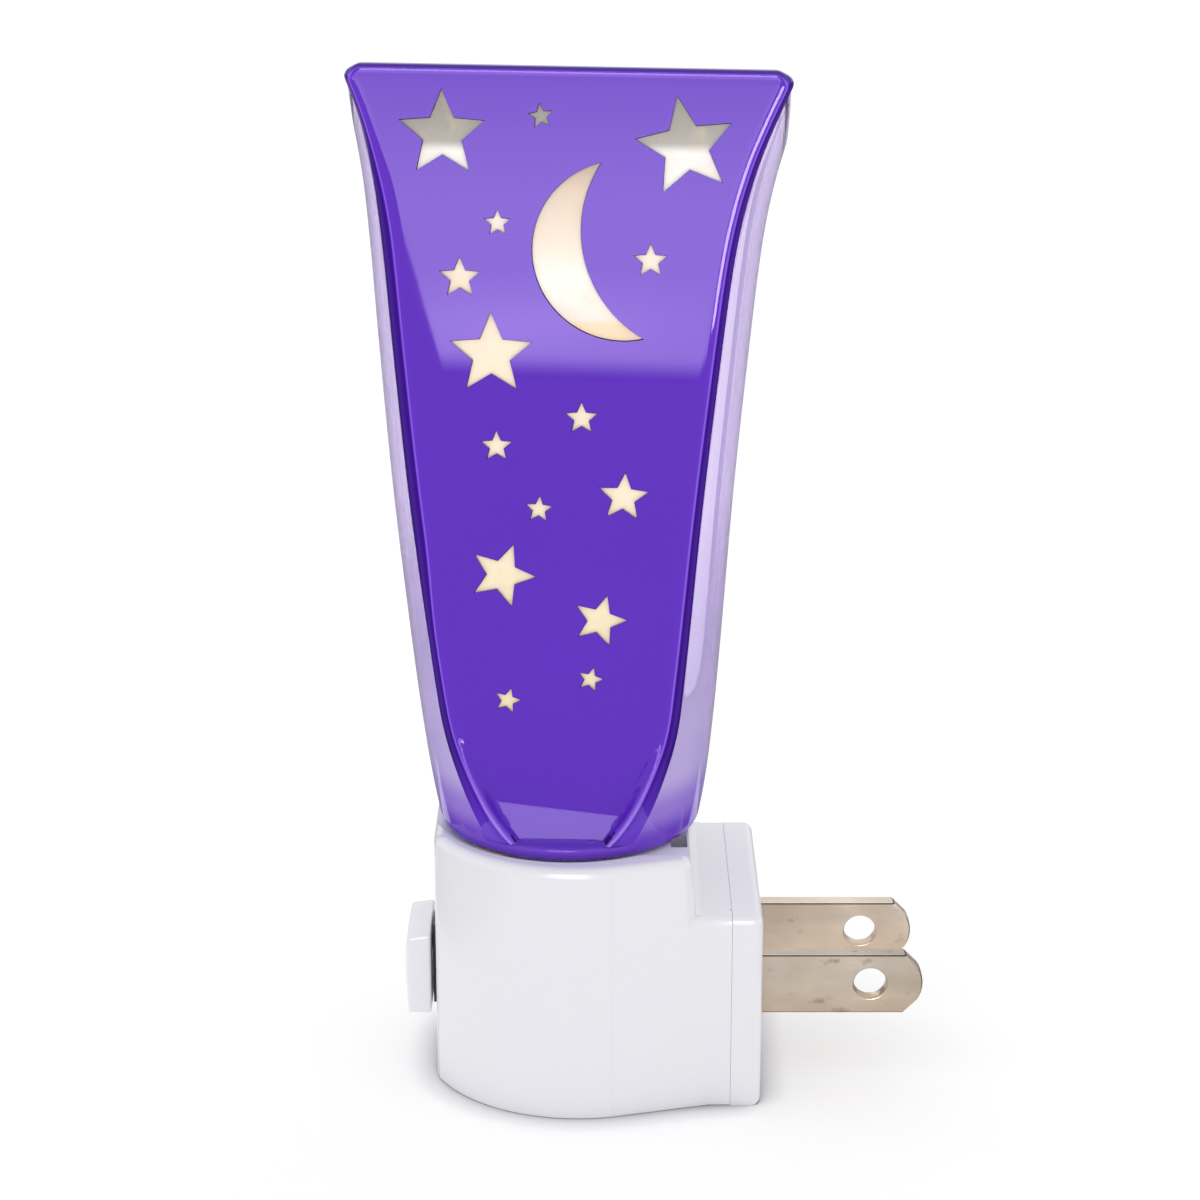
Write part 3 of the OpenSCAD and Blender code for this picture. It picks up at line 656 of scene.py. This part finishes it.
def thumb_knob():
    """Knob with a face domed both ways and a sloping top, softly rounded all round."""
    back, front, bow, dome = -13.9, -16.22, 0.08, 0.4
    half_y, low, high, draft = 4.55, 6.15, 14.65, 0.3
    steps = 16
    vertices, faces = [], []
    for i in range(steps + 1):
        for k in range(steps + 1):
            y, z = 2 * i / steps - 1, 2 * k / steps - 1
            x = front - (1 - z * z) * (bow + dome * (1 - y * y))
            vertices.append((x, y * half_y, low + (high - draft - low) * k / steps))
    row = steps + 1
    for i in range(steps):
        for k in range(steps):
            a = i * row + k
            faces.append((a, a + 1, a + row + 1, a + row))
    rim = list(range(row))
    rim += [i * row + steps for i in range(1, row)]
    rim += [steps * row + k for k in range(steps - 1, -1, -1)]
    rim += [i * row for i in range(steps - 1, 0, -1)]
    start, count = len(vertices), len(rim)
    stretch = (high - low) / (high - draft - low)
    vertices += [(back, vertices[i][1], low + (vertices[i][2] - low) * stretch) for i in rim]
    for i in range(count):
        n = (i + 1) % count
        faces.append((rim[i], rim[n], start + n, start + i))
    faces.append(list(range(start, start + count)))
    piece = mesh_piece("thumb_knob", vertices, faces)

    def rounded(edge):
        return edge.calc_face_angle(0) > math.radians(50)

    bevel_edges(piece, rounded, 0.28)
    weigh_normals(piece, 40)
    return finish_piece(piece, "switch", "knob_plastic", "switch_knob")


def knob_stem():
    half, front, back = 1.5, -14.0, -11.35
    outline = box(-half, KNOB_Z - half, half, KNOB_Z + half)
    stem = prism("knob_stem", outline, front, back, along)
    clean(stem, 30)
    return finish_piece(stem, "switch", "knob_plastic")


# ---------------- shade

def shade_r(z):
    """Radius of the shade's turned body at a height."""
    swell = SWELL * (1 - math.exp((RING_Z - z) / SWELL_H))
    flare = FLARE * max(0, (z - FLARE_Z) / (SHADE_TOP - FLARE_Z)) ** 3
    return BODY_R + TAPER * (z - RING_Z) + swell + flare


def panel_front(z, depth=0.0):
    """Y of the panel's face at a height, or of a layer at a depth behind it."""
    if z >= RUNOUT_Z:
        return depth - PANEL_Y
    run, turn = RUNOUT_R + depth, math.radians(RUNOUT_ANGLE)
    middle_y = -PANEL_Y - RUNOUT_R
    bend_z = RUNOUT_Z - run * math.sin(turn)
    if z >= bend_z:
        return middle_y + math.sqrt(run**2 - (RUNOUT_Z - z) ** 2)
    return middle_y + run * math.cos(turn) - (bend_z - z) * math.tan(turn)


def side_limit(z):
    """Half width of the front view's outline, with its rounded top corners."""
    over = z - (SHADE_TOP - TOP_CORNER)
    if over <= 0:
        return TOP_HALF
    return TOP_HALF - TOP_CORNER + math.sqrt(max(0, TOP_CORNER**2 - over * over))


def wall_x(y, z, inset=0.0):
    """X of the side wall at a place, on its outside or inset from it."""
    radius = shade_r(z) - inset
    return min(math.sqrt(max(0, radius * radius - y * y)), side_limit(z) - inset)


# How far the moulding has pulled to the side at a height, in millimetres
SWAY = [(10, 0), (27, 0), (45, -0.3), (60, -0.5), (75, -0.35), (85, -0.1),
        (92, 0.3), (98, 0.7), (104, 0.8), (110, 0.8)]
TOP_DROP = 0.35


def sway(z):
    """A smooth curve through the points of SWAY."""
    for k in range(1, len(SWAY) - 2):
        (z1, x1), (z2, x2) = SWAY[k], SWAY[k + 1]
        if z <= z2 or k == len(SWAY) - 3:
            t = min(1, max(0, (z - z1) / (z2 - z1)))
            rise1 = (x2 - SWAY[k - 1][1]) / (z2 - SWAY[k - 1][0]) * (z2 - z1)
            rise2 = (SWAY[k + 2][1] - x1) / (SWAY[k + 2][0] - z1) * (z2 - z1)
            return (
                (2 * t**3 - 3 * t**2 + 1) * x1 + (t**3 - 2 * t**2 + t) * rise1
                + (3 * t**2 - 2 * t**3) * x2 + (t**3 - t**2) * rise2
            )


def pull(piece, top_drop=TOP_DROP):
    """Pull a moulding to the side by its sway, and let its top slope a little."""
    for vertex in piece.data.vertices:
        x, y, z = vertex.co / MM
        near_top = min(1, max(0, (z - 88) / 12))
        drop = top_drop * (x + 20) / 40 * near_top**2 * (3 - 2 * near_top)
        vertex.co = Vector((x + sway(z), y, z - drop)) * MM


def turn_shade(piece):
    piece.data.transform(Matrix.Rotation(math.radians(SHADE_TURN), 4, "Z"))


STARS = [
    (-10.5, 95.3, 4.1, 0), (-1.6, 97, 1.2, 7), (11.4, 94.4, 4.65, 10),
    (-5.6, 87.3, 1.3, 0), (8.3, 84, 1.65, 0), (-9.1, 82.2, 2, 0),
    (-6.3, 75.1, 4, 0), (2, 69.2, 1.6, 0), (-5.9, 66.4, 1.55, 0),
    (5.9, 61.7, 2.45, -4), (-2, 60.4, 1.35, -4), (-5.5, 53.9, 3.25, -20),
    (3.7, 49.6, 2.65, -16), (2.8, 43.7, 1.3, -15), (-5.1, 41.4, 1.35, -15),
]
MOON = ((5.8, 84.8, 8.3), (13.4, 86.6, 11.4))


def star_outline(x, z, radius, tilt):
    points = []
    for i in range(10):
        r = radius if i % 2 == 0 else radius * 0.45
        a = math.radians(90 + 36 * i + tilt)
        points.append((x + r * math.cos(a), z + r * math.sin(a)))
    return points


def moon_outline(inset=0.0):
    """Crescent between two circles: the outside of one, back along the other."""
    (x0, z0, r0), (x1, z1, r1) = MOON
    r0, r1 = r0 - inset, r1 + inset
    gap = math.hypot(x1 - x0, z1 - z0)
    lean = math.degrees(math.atan2(z1 - z0, x1 - x0))
    open0 = math.degrees(math.acos((r0**2 + gap**2 - r1**2) / (2 * r0 * gap)))
    open1 = math.degrees(math.acos((r1**2 + gap**2 - r0**2) / (2 * r1 * gap)))
    outside = circle(x0, z0, r0, 60, lean + open0, 360 - 2 * open0)
    inside = circle(x1, z1, r1, 40, lean + 180 + open1, -2 * open1)
    return outside + inside[1:-1]


SHOULDER_R, TOP_R = 0.34, 0.6  # Rounding between the panel's face and its sides and top
CAMBER, CAMBER_W = 0.07, 1.15  # The face falls away a little beside its shoulders
CORNER_R = 1.2  # Rounded corners of the face's outline, at its top
FOOT_ROWS_TO, FOOT_Z, FOOT_LEAN = 41.0, 30.5, 12.0  # Where the middle of the foot leans out
FOOT_SKEW = -0.1  # The line where it starts to lean falls to the right
RIDGE_FROM, RIDGE_WIDTH = 0.84, 0.15  # Where the foot's ridges rise, in half widths
FOOT_DRAW = 0.95  # How far its corners move in per millimetre of inset
FOOT_TURN, TOP_TURN = 12.0, 80.0  # How far the rounding turns at the foot and the top
ACROSS = 24  # Steps across the face's top and its foot
RIM_SPAN = 3.0  # Millimetres from end to end of the panel's "rim" value
SLIM, SLIM_FROM, SLIM_TO = 0.45, 46.0, 97.0  # The face's left side is slimmer in between


def face_y(x, z, depth=0.0):
    """Y of the face: its foot is hollow between two ridges that lean out further."""
    ridge = panel_front(z, depth)
    if z >= FOOT_ROWS_TO:
        return ridge
    start = FOOT_Z + FOOT_SKEW * x
    hollow = depth - PANEL_Y - max(0, start - z) * math.tan(math.radians(FOOT_LEAN))
    across = min(1, abs(x) / wall_x(panel_front(z), z))
    return hollow + (ridge - hollow) * smooth_step((across - RIDGE_FROM) / RIDGE_WIDTH)


def smooth_step(value):
    value = min(1, max(0, value))
    return value * value * (3 - 2 * value)


class Outline:
    """The edge of the panel's face, seen from the front: up the right side, across the
    top, down the left side and across the foot. Each side has as many points."""

    def __init__(self):
        lift = 0.01
        near_top = SHADE_TOP - 1.4 * CORNER_R
        flare = math.atan((self.half(near_top + lift) - self.half(near_top)) / lift)
        last_z = SHADE_TOP - CORNER_R * (1 + math.sin(flare))
        first_z = PANEL_Z + 4.2
        # Heights close together at the foot, then even ones up to the rounded corners
        heights = [PANEL_Z] + [PANEL_Z + 0.35 + 0.2 * i for i in range(19)]
        heights += spread(first_z, last_z, 76)
        right = [(self.half(z), z) for z in heights]
        middle = (right[-1][0] - CORNER_R * math.cos(flare), SHADE_TOP - CORNER_R)
        turn = 90 + math.degrees(flare)
        arc = circle(*middle, CORNER_R, 13, 90 - turn, turn)[1:]
        self.corners = [0.0] * len(right) + [smooth_step((i + 1) / 9) for i in range(len(arc))]
        right += arc
        self.side = len(right)
        half_top, half_foot = right[-1][0], right[0][0]
        top = [(half_top * (1 - 2 * i / ACROSS), SHADE_TOP) for i in range(1, ACROSS)]
        foot = [(half_foot * (2 * i / ACROSS - 1), PANEL_Z) for i in range(1, ACROSS)]
        left = [(self.slim(z) - x, z) for x, z in reversed(right)]
        self.points = right + top + left + foot
        self.corners += [1.0] * len(top) + self.corners[::-1] + [0.0] * len(foot)
        self.foot_rows = sum(z < FOOT_ROWS_TO for z in heights)
        self.slopes = [self.slope(i) for i in range(len(self.points))]
        self.radii = [SHOULDER_R + (TOP_R - SHOULDER_R) * share for share in self.corners]
        self.inward = [self.inward_at(i) for i in range(len(self.points))]

    def slim(self, z):
        """How much slimmer the left side of the face is at a height."""
        return SLIM * smooth_step((z - SLIM_FROM) / 12) * smooth_step((SLIM_TO - z) / 12)

    def lean(self, z):
        """Angle between the face and the side at a height."""
        y = panel_front(z)
        return math.atan2(wall_x(y, z), -y)

    def half(self, z):
        y = panel_front(z) + SHOULDER_R * (1 - math.cos(self.lean(z))) + CAMBER
        return math.sqrt(shade_r(z) ** 2 - y * y)

    def slope(self, i):
        """Angle through which the rounding turns at a point of the edge."""
        if i >= 2 * self.side + ACROSS:
            return math.radians(FOOT_TURN)
        lean = self.lean(self.points[i][1])
        return lean + (math.radians(TOP_TURN) - lean) * self.corners[i]

    def inward_at(self, i):
        """Direction into the face, long enough to move both edges at a corner alike."""
        count = len(self.points)
        before, here, after = (Vector(self.points[(i + k) % count]) for k in (-1, 0, 1))
        a, b = (here - before).normalized(), (after - here).normalized()
        along_edge = (a + b).normalized()
        grow = 1 / max(0.6, along_edge.dot(a))
        inward = Vector((-along_edge.y, along_edge.x)) * grow
        x, z = self.points[i]
        if z == PANEL_Z:
            inward.y *= 0.2
            # The foot draws in from both its corners alike
            inward.x = -FOOT_DRAW * x / self.points[0][0]
        return inward

    def front_loop(self, inset):
        """Points of the face at an inset from its edge."""
        loop = []
        for (x, z), inward, slope, radius in zip(self.points, self.inward, self.slopes, self.radii):
            x, z = x + inward.x * inset, z + inward.y * inset
            short = max(0, radius * math.sin(slope) - inset)
            depth = radius - math.sqrt(radius**2 - short**2)
            depth += CAMBER * max(0, 1 - inset / CAMBER_W) ** 2
            loop.append((x, face_y(x, z) + depth, z))
        return loop

    def side_loop(self, front, share):
        """Points on the sides, a share of the way from the face's edge to the back."""
        loop = []
        for (x, y, z), corner in zip(front, self.corners):
            y += (face_y(x, z, PANEL_T) - y) * share
            if abs(x) > self.half(PANEL_Z) - 0.01:
                wall = math.sqrt(max(0, shade_r(z) ** 2 - y * y))
                out = (1 - corner) * min(1, share / 0.3)
                x = math.copysign(abs(x) + (wall - abs(x)) * out, x)
            loop.append((x, y, z))
        return loop

    def face_inside(self, loop, vertices, depth=0.0):
        """Faces across a loop, rung by rung, with columns in the foot. New points are
        added to vertices, whose last points are the loop's."""
        n, inner, first = self.side, ACROSS - 1, len(vertices) - len(loop)
        right = [first + i for i in range(n)]
        left = [first + 2 * n + inner - 1 - i for i in range(n)]
        top = [first + n + i for i in range(inner)]
        foot = [first + 2 * n + inner + i for i in range(inner)]
        rows = [[left[0]] + foot + [right[0]]]
        for i in range(1, self.foot_rows + 1):
            (x0, _, z), (x1, _, _) = loop[left[i] - first], loop[right[i] - first]
            row = [left[i]]
            for k in range(1, ACROSS):
                x = x0 + (x1 - x0) * (1 - math.cos(math.pi * k / ACROSS)) / 2
                row.append(len(vertices))
                vertices.append((x, face_y(x, z, depth), z))
            rows.append(row + [right[i]])
        faces = []
        for low, high in zip(rows, rows[1:]):
            faces += [(low[k], low[k + 1], high[k + 1], high[k]) for k in range(ACROSS)]
        i = self.foot_rows
        faces.append(rows[-1] + [right[i + 1], left[i + 1]])
        faces += [
            (right[i], right[i + 1], left[i + 1], left[i]) for i in range(self.foot_rows + 1, n - 2)
        ]
        faces.append([right[n - 2], right[n - 1]] + top + [left[n - 1], left[n - 2]])
        return faces


def front_panel():
    """Purple front: a flat with a leaning foot, rounded into its sides and its top."""
    outline = Outline()
    insets = [CAMBER_W, 1.0, 0.8, 0.66, 0.56, 0.46, 0.37, 0.29, 0.22, 0.16, 0.1, 0.05, 0.02, 0.0]
    vertices = outline.front_loop(insets[0])
    faces = outline.face_inside(list(vertices), vertices)
    rim = [0.0] * len(vertices)
    starts = [0]
    edge = outline.front_loop(0.0)
    for inset in insets[1:]:
        starts.append(len(vertices))
        vertices += outline.front_loop(inset)
        # Painted shade: the dark band starts sooner at the top
        sooner = 0.12 if inset < 0.3 else 0
        rim += [0.5 - inset / RIM_SPAN + sooner * corner for corner in outline.corners]
    for share in (0.08, 0.18, 0.3, 0.42, 0.55, 0.7, 0.85, 1.0):
        starts.append(len(vertices))
        loop = outline.side_loop(edge, share)
        vertices += loop
        rim += [0.5 + (Vector(p) - Vector(q)).length / RIM_SPAN for p, q in zip(loop, edge)]
    faces += outline.face_inside(loop, vertices, PANEL_T)
    rim += [1.0] * (len(vertices) - len(rim))
    for start, following in zip(starts, starts[1:]):
        faces += band(len(outline.points), start, following)
    mesh = bpy.data.meshes.new("front_panel")
    mesh.from_pydata([Vector(v) * MM for v in vertices], [], faces)
    mesh.attributes.new("rim", "FLOAT", "POINT").data.foreach_set("value", rim)
    piece = in_scene("front_panel", mesh)
    pull(piece)
    clean(piece)
    cutters = [prism("cut_star", star_outline(*star), -20, -5, facing) for star in STARS]
    cutters.append(prism("cut_moon", moon_outline(), -20, -5, facing))
    cut(piece, cutters)
    weigh_normals(piece, 40)

    # Painted shade: the walls of the cut-outs are marked to be painted dark
    def hole_wall_for_painted_shade(polygon):
        x, _, z = polygon.center / MM
        return abs(polygon.normal.y) < 0.3 and abs(x) < wall_x(-PANEL_Y, z) - 1.5 and z < 100.5

    marks = [float(hole_wall_for_painted_shade(polygon)) for polygon in piece.data.polygons]
    piece.data.attributes.new("hole", "FLOAT", "FACE").data.foreach_set("value", marks)
    turn_shade(piece)
    return finish_piece(piece, "shade", "purple_panel", "star_panel")


def diffuser_film():
    """Cream film behind the panel, with low pads that stand in the cut-outs."""
    front, back, foot, top, inset = -8.98, -8.2, 38.0, 100.3, 1.5
    # The pads stop short of the panel's face and of the sides of its holes
    pad_front, pad_back, smaller, lower = 0.25 - PANEL_Y, front + 0.1, 0.08, 0.07
    rows = spread(foot, top, 48)
    vertices, faces = [], []
    for y in (front, back):
        for z in rows:
            half = wall_x(y, z, inset)
            vertices += [(-half, y, z), (half, y, z)]
    layer = 2 * len(rows)
    for a in range(0, layer - 2, 2):
        b = layer + a
        faces += [(a, a + 1, a + 3, a + 2), (b, b + 1, b + 3, b + 2)]
        faces += [(a, a + 2, b + 2, b), (a + 1, a + 3, b + 3, b + 1)]
    faces += [(0, 1, layer + 1, layer), (layer - 2, layer - 1, 2 * layer - 1, 2 * layer - 2)]
    film = mesh_piece("diffuser_film", vertices, faces)
    pull(film, 0)
    pads = []
    for x, z, radius, tilt in STARS:
        outline = star_outline(x, z - lower, radius - smaller, tilt)
        pads.append(prism("pad", outline, pad_front, pad_back, facing))
    moon = prism("pad", moon_outline(0.05), pad_front, pad_back, facing)
    marks = moon.data.attributes.new("moon", "FLOAT", "POINT").data
    marks.foreach_set("value", [1.0] * len(marks))
    pads.append(moon)
    with bpy.context.temp_override(
        active_object=film, object=film, selected_objects=[film] + pads,
        selected_editable_objects=[film] + pads,
    ):
        bpy.ops.object.join()
    clean(film, 30)
    turn_shade(film)
    return finish_piece(film, "shade", "cream_diffuser", "diffuser")


def rear_edge(z):
    """Y of the rear edge of the side walls at a height."""
    wing_y, wing_r = 2.0, 9.0
    if z < SKIRT_Z + SKIRT_R:
        rise = max(0, z - SKIRT_Z)
        return wing_y + SKIRT_R - math.sqrt(SKIRT_R**2 - (SKIRT_R - rise) ** 2)
    shoulder = math.radians(45)
    turn_z = SHADE_TOP - (wing_y + PANEL_Y - PANEL_T) - wing_r * math.tan(shoulder / 2)
    if z <= turn_z:
        return wing_y
    if z <= turn_z + wing_r * math.sin(shoulder):
        return wing_y - wing_r + math.sqrt(wing_r**2 - (z - turn_z) ** 2)
    return -(PANEL_Y - PANEL_T) + (SHADE_TOP - z)


def shell_piece():
    """Clear side walls, closed skirt, ring and neck, as one thin moulding."""
    low = spread(PANEL_Z, SKIRT_Z, 9)[:-1]
    arc = [SKIRT_Z + SKIRT_R * (1 - math.cos(math.radians(9 * i))) for i in range(10)]
    rows = low + arc + spread(SKIRT_Z + SKIRT_R, SHADE_TOP - 0.5, 56)
    front_cols, side_cols, rear_cols = 8, 22, 16
    vertices, faces = [], []
    index = {}

    def add(p):
        key = tuple(round(c, 5) for c in p)
        if key not in index:
            index[key] = len(vertices)
            vertices.append(p)
        return index[key]

    def wall(angles, z, inset, side):
        """Points on the wall, by their angles round from the front in radians."""
        radius, limit = shade_r(z) - inset, side_limit(z) - inset
        places = [(min(radius * math.sin(a), limit), -radius * math.cos(a)) for a in angles]
        return [add((side * x, y, z)) for x, y in places]

    def edge_angles(z, inset):
        """Where the wall starts behind the panel and where it stops at the rear."""
        radius = shade_r(z) - inset
        start = math.acos(min(1, -panel_front(z, PANEL_T - SEAT) / radius))
        return start, math.acos(max(-1, -rear_edge(z) / radius))

    def grid(points):
        for a, b in zip(points, points[1:]):
            for i in range(len(a) - 1):
                quad = [a[i], a[i + 1], b[i + 1], b[i]]
                if len(set(quad)) > 2:
                    faces.append(list(dict.fromkeys(quad)))

    for side in (-1, 1):
        skins = {}
        for inset in (0.0, SHADE_WALL):
            part_a, part_b = [], []
            for z in rows:
                start, stop = edge_angles(z, inset)
                stop = max(stop, start + 0.004)
                part_a.append(wall(spread(start, stop, side_cols), z, inset, side))
                if z <= SKIRT_Z + 1e-6:
                    part_b.append(wall(spread(stop, math.pi, rear_cols), z, inset, side))
            grid(part_a)
            grid(part_b)
            skins[inset] = (part_a, part_b)
        outer_a, outer_b = skins[0.0]
        inner_a, inner_b = skins[SHADE_WALL]
        grid([[row[0] for row in outer_a], [row[0] for row in inner_a]])
        grid([outer_a[-1], inner_a[-1]])
        first = len(low)
        grid([[row[-1] for row in outer_a[first:]], [row[-1] for row in inner_a[first:]]])
        grid([outer_b[-1], inner_b[-1]])
        # Ring and neck: the walls' lowest row carried down and in
        def ring_angles(inset):
            start, stop = edge_angles(PANEL_Z, inset)
            angles = spread(0, start, front_cols)[:-1] + spread(start, stop, side_cols)[:-1]
            return angles + spread(stop, math.pi, rear_cols)

        def ring(radius, height, angles):
            return [
                add((side * radius * math.sin(a), -radius * math.cos(a), height)) for a in angles
            ]

        outside, inside = ring_angles(0), ring_angles(SHADE_WALL)
        top_out = ring(shade_r(PANEL_Z), PANEL_Z, outside)
        top_in = ring(shade_r(PANEL_Z) - SHADE_WALL, PANEL_Z, inside)
        neck, bead, bore = 9.1, 9.6, 8.0
        profile = [
            (shade_r(27.0), 27.0), (shade_r(26.6), 26.6), (shade_r(26.3) - 0.05, 26.3),
            (shade_r(26.1) - 0.2, 26.08), (shade_r(26) - 0.5, RING_Z), (11.0, RING_Z),
            (9.5, RING_Z), (neck, 25.95), (neck, 24.5), (neck, 23.1), (neck, 22.95),
            (bead, 22.85), (bead, 22.4), (bead - 0.15, 22.3), (bore + 0.2, 22.3),
            (bore, 22.5), (bore, 24.5), (bore, 27.1), (bore + 0.2, PANEL_Z),
        ]
        loops = [ring(radius, height, outside) for radius, height in profile]
        grid([top_out] + loops + [ring(10.0, PANEL_Z, inside), top_in])
        # In front of the walls the ring's top runs out to the panel
        grid([top_in[:front_cols + 1], top_out[:front_cols + 1]])
    piece = mesh_piece("shade_body", vertices, faces)
    modify(piece, "SUBSURF", levels=1, render_levels=1)
    for polygon in piece.data.polygons:
        polygon.use_smooth = True
    pull(piece)
    turn_shade(piece)
    return finish_piece(piece, "shade", "clear_purple", "shade_shell")


# ---------------- CAD nodes that stay

def dress_nodes():
    """Give every CAD node that stays its own material."""
    for entry in frame["record"]["subparts"]:
        node = frame["nodes"][entry["node"]]
        node.data.materials.clear()
        node.data.materials.append(MATERIALS[entry["material_slot"]])


# ---------------- stage

def plane(name, corners, material):
    mesh = bpy.data.meshes.new(name)
    mesh.from_pydata(corners, [], [tuple(range(len(corners)))])
    piece = in_scene(name, mesh)
    mesh.materials.append(material)
    return piece


def glow(name, peak, shares, near, reach):
    """A card's light: shares of the peak, spread evenly from the point near to reach."""
    s = Shader(name)
    away = s.node("VectorMath", operation="DISTANCE")
    away.inputs[1].default_value = near
    s.link(s.point(), away.inputs[0])
    emission = s.node("Emission")
    light = s.ramp(s.map(away.outputs["Value"], from_max=reach), shares)
    s.link(light, emission.inputs["Color"])
    # The light fades in over a few millimetres beyond the front line
    fade = s.map(
        s.along("Y"), "SMOOTHSTEP",
        from_min=-0.3, from_max=-0.322, to_min=min(1.1, peak), to_max=peak,
    )
    s.link(fade, emission.inputs["Strength"])
    s.link(emission.outputs[0], s.tree.nodes["Material Output"].inputs["Surface"])
    return s.material


def card(name, corners, peak, shares=((0, 1), (1, 1)), near=(0, 0, 0), reach=1.0):
    """A card of light or shade that shows only in reflections."""
    piece = plane(name, corners, glow(name, peak, shares, near, reach))
    for ray in ("camera", "diffuse", "transmission", "volume_scatter", "shadow"):
        setattr(piece, "visible_" + ray, False)


def flat(outline, height):
    """Corners of a level card from its outline in X and Y, in metres."""
    return [(x, y, height) for x, y in outline]


def stage():
    s = Shader(
        "floor", Roughness=0.9, Specular_IOR_Level=0, Emission_Color=grey(1), Emission_Strength=0.06
    )
    # Painted contact shadow: the floor is painted darker close to what stands on it
    close = s.node("AmbientOcclusion", samples=16)
    close.inputs["Distance"].default_value = 5 * MM
    s.colour(s.ramp(close.outputs["AO"], [
        (0.4, rgb(112, 110, 116)), (0.6, rgb(222, 221, 225)), (0.88, 1),
    ]))
    size = 6
    plane("floor", flat(box(-size, -size, size, size), 0), s.material)
    # The front light lies beyond a line across the floor, which the panel mirrors
    wall_y, left, right = -1.7, -0.6, 0.2
    light = [(-0.068, -0.3), (-0.108, -0.451), (-0.13, -0.5), (-0.42, -0.55), (left, wall_y),
             (0.05, wall_y), (0.01, -0.3)]
    shares = ((0, 1), (0.07, 0.82), (0.15, 0.7), (0.36, 0.7), (0.85, 0.48), (1, 0.44))
    card("card_floor", flat(light, 0.001), 7.8, shares, (-0.06, -0.346, 0), 0.4)
    # A strip to the right of it shows only in the rounded right shoulder
    streak = [(0.018, -0.325), (0.022, -0.43), (0.058, -0.62), (0.09, -0.56), (0.085, -0.43),
              (0.03, -0.325)]
    card("card_streak", flat(streak, 0.001), 18)
    # Two upright cards, one over the other, close off the front
    for name, low, high, peak in (("card_low", 0, 0.5, 5), ("card_high", 0.5, 1.5, 10)):
        card(name, [(x, wall_y, z) for x, z in box(left, low, right, high)], peak)
    # Dark cards on both sides keep the panel's rounded sides deep in colour
    for side in (-1, 1):
        wing = [(0.05, -0.045), (1.6, -1.3), (2.6, 0), (1.6, 1.9), (0.04, 0.03)]
        card("card_dark", flat([(side * x, y) for x, y in wing], 0.0008), 0.1)
    # A dim one behind gives the clear walls their dark outlines
    card("card_behind", flat(box(left, 0.05, -left, 2), 0.0006), 0.3)

    world = bpy.data.worlds.new("studio")
    world.use_nodes = True
    sky = world.node_tree.nodes["Background"].inputs
    sky["Color"].default_value = grey(1)
    sky["Strength"].default_value = 1
    bpy.context.scene.world = world


def camera():
    data = bpy.data.cameras.new("camera")
    data.lens = 90
    data.sensor_width = 36
    data.clip_start = 0.01
    eye = in_scene("camera", data)
    eye.location = (0.0030, -0.2783, 0.1386)
    eye.rotation_euler = (math.radians(72.02), 0, 0)
    bpy.context.scene.camera = eye


# ---------------- build

dress_nodes()
base_housing()
for side in (-1, 1):
    blade(side)
parting_line()
rear_cover()
thumb_knob()
knob_stem()
front_panel()
diffuser_film()
shell_piece()
stage()
camera()
bpy.context.scene.view_settings.view_transform = "Standard"
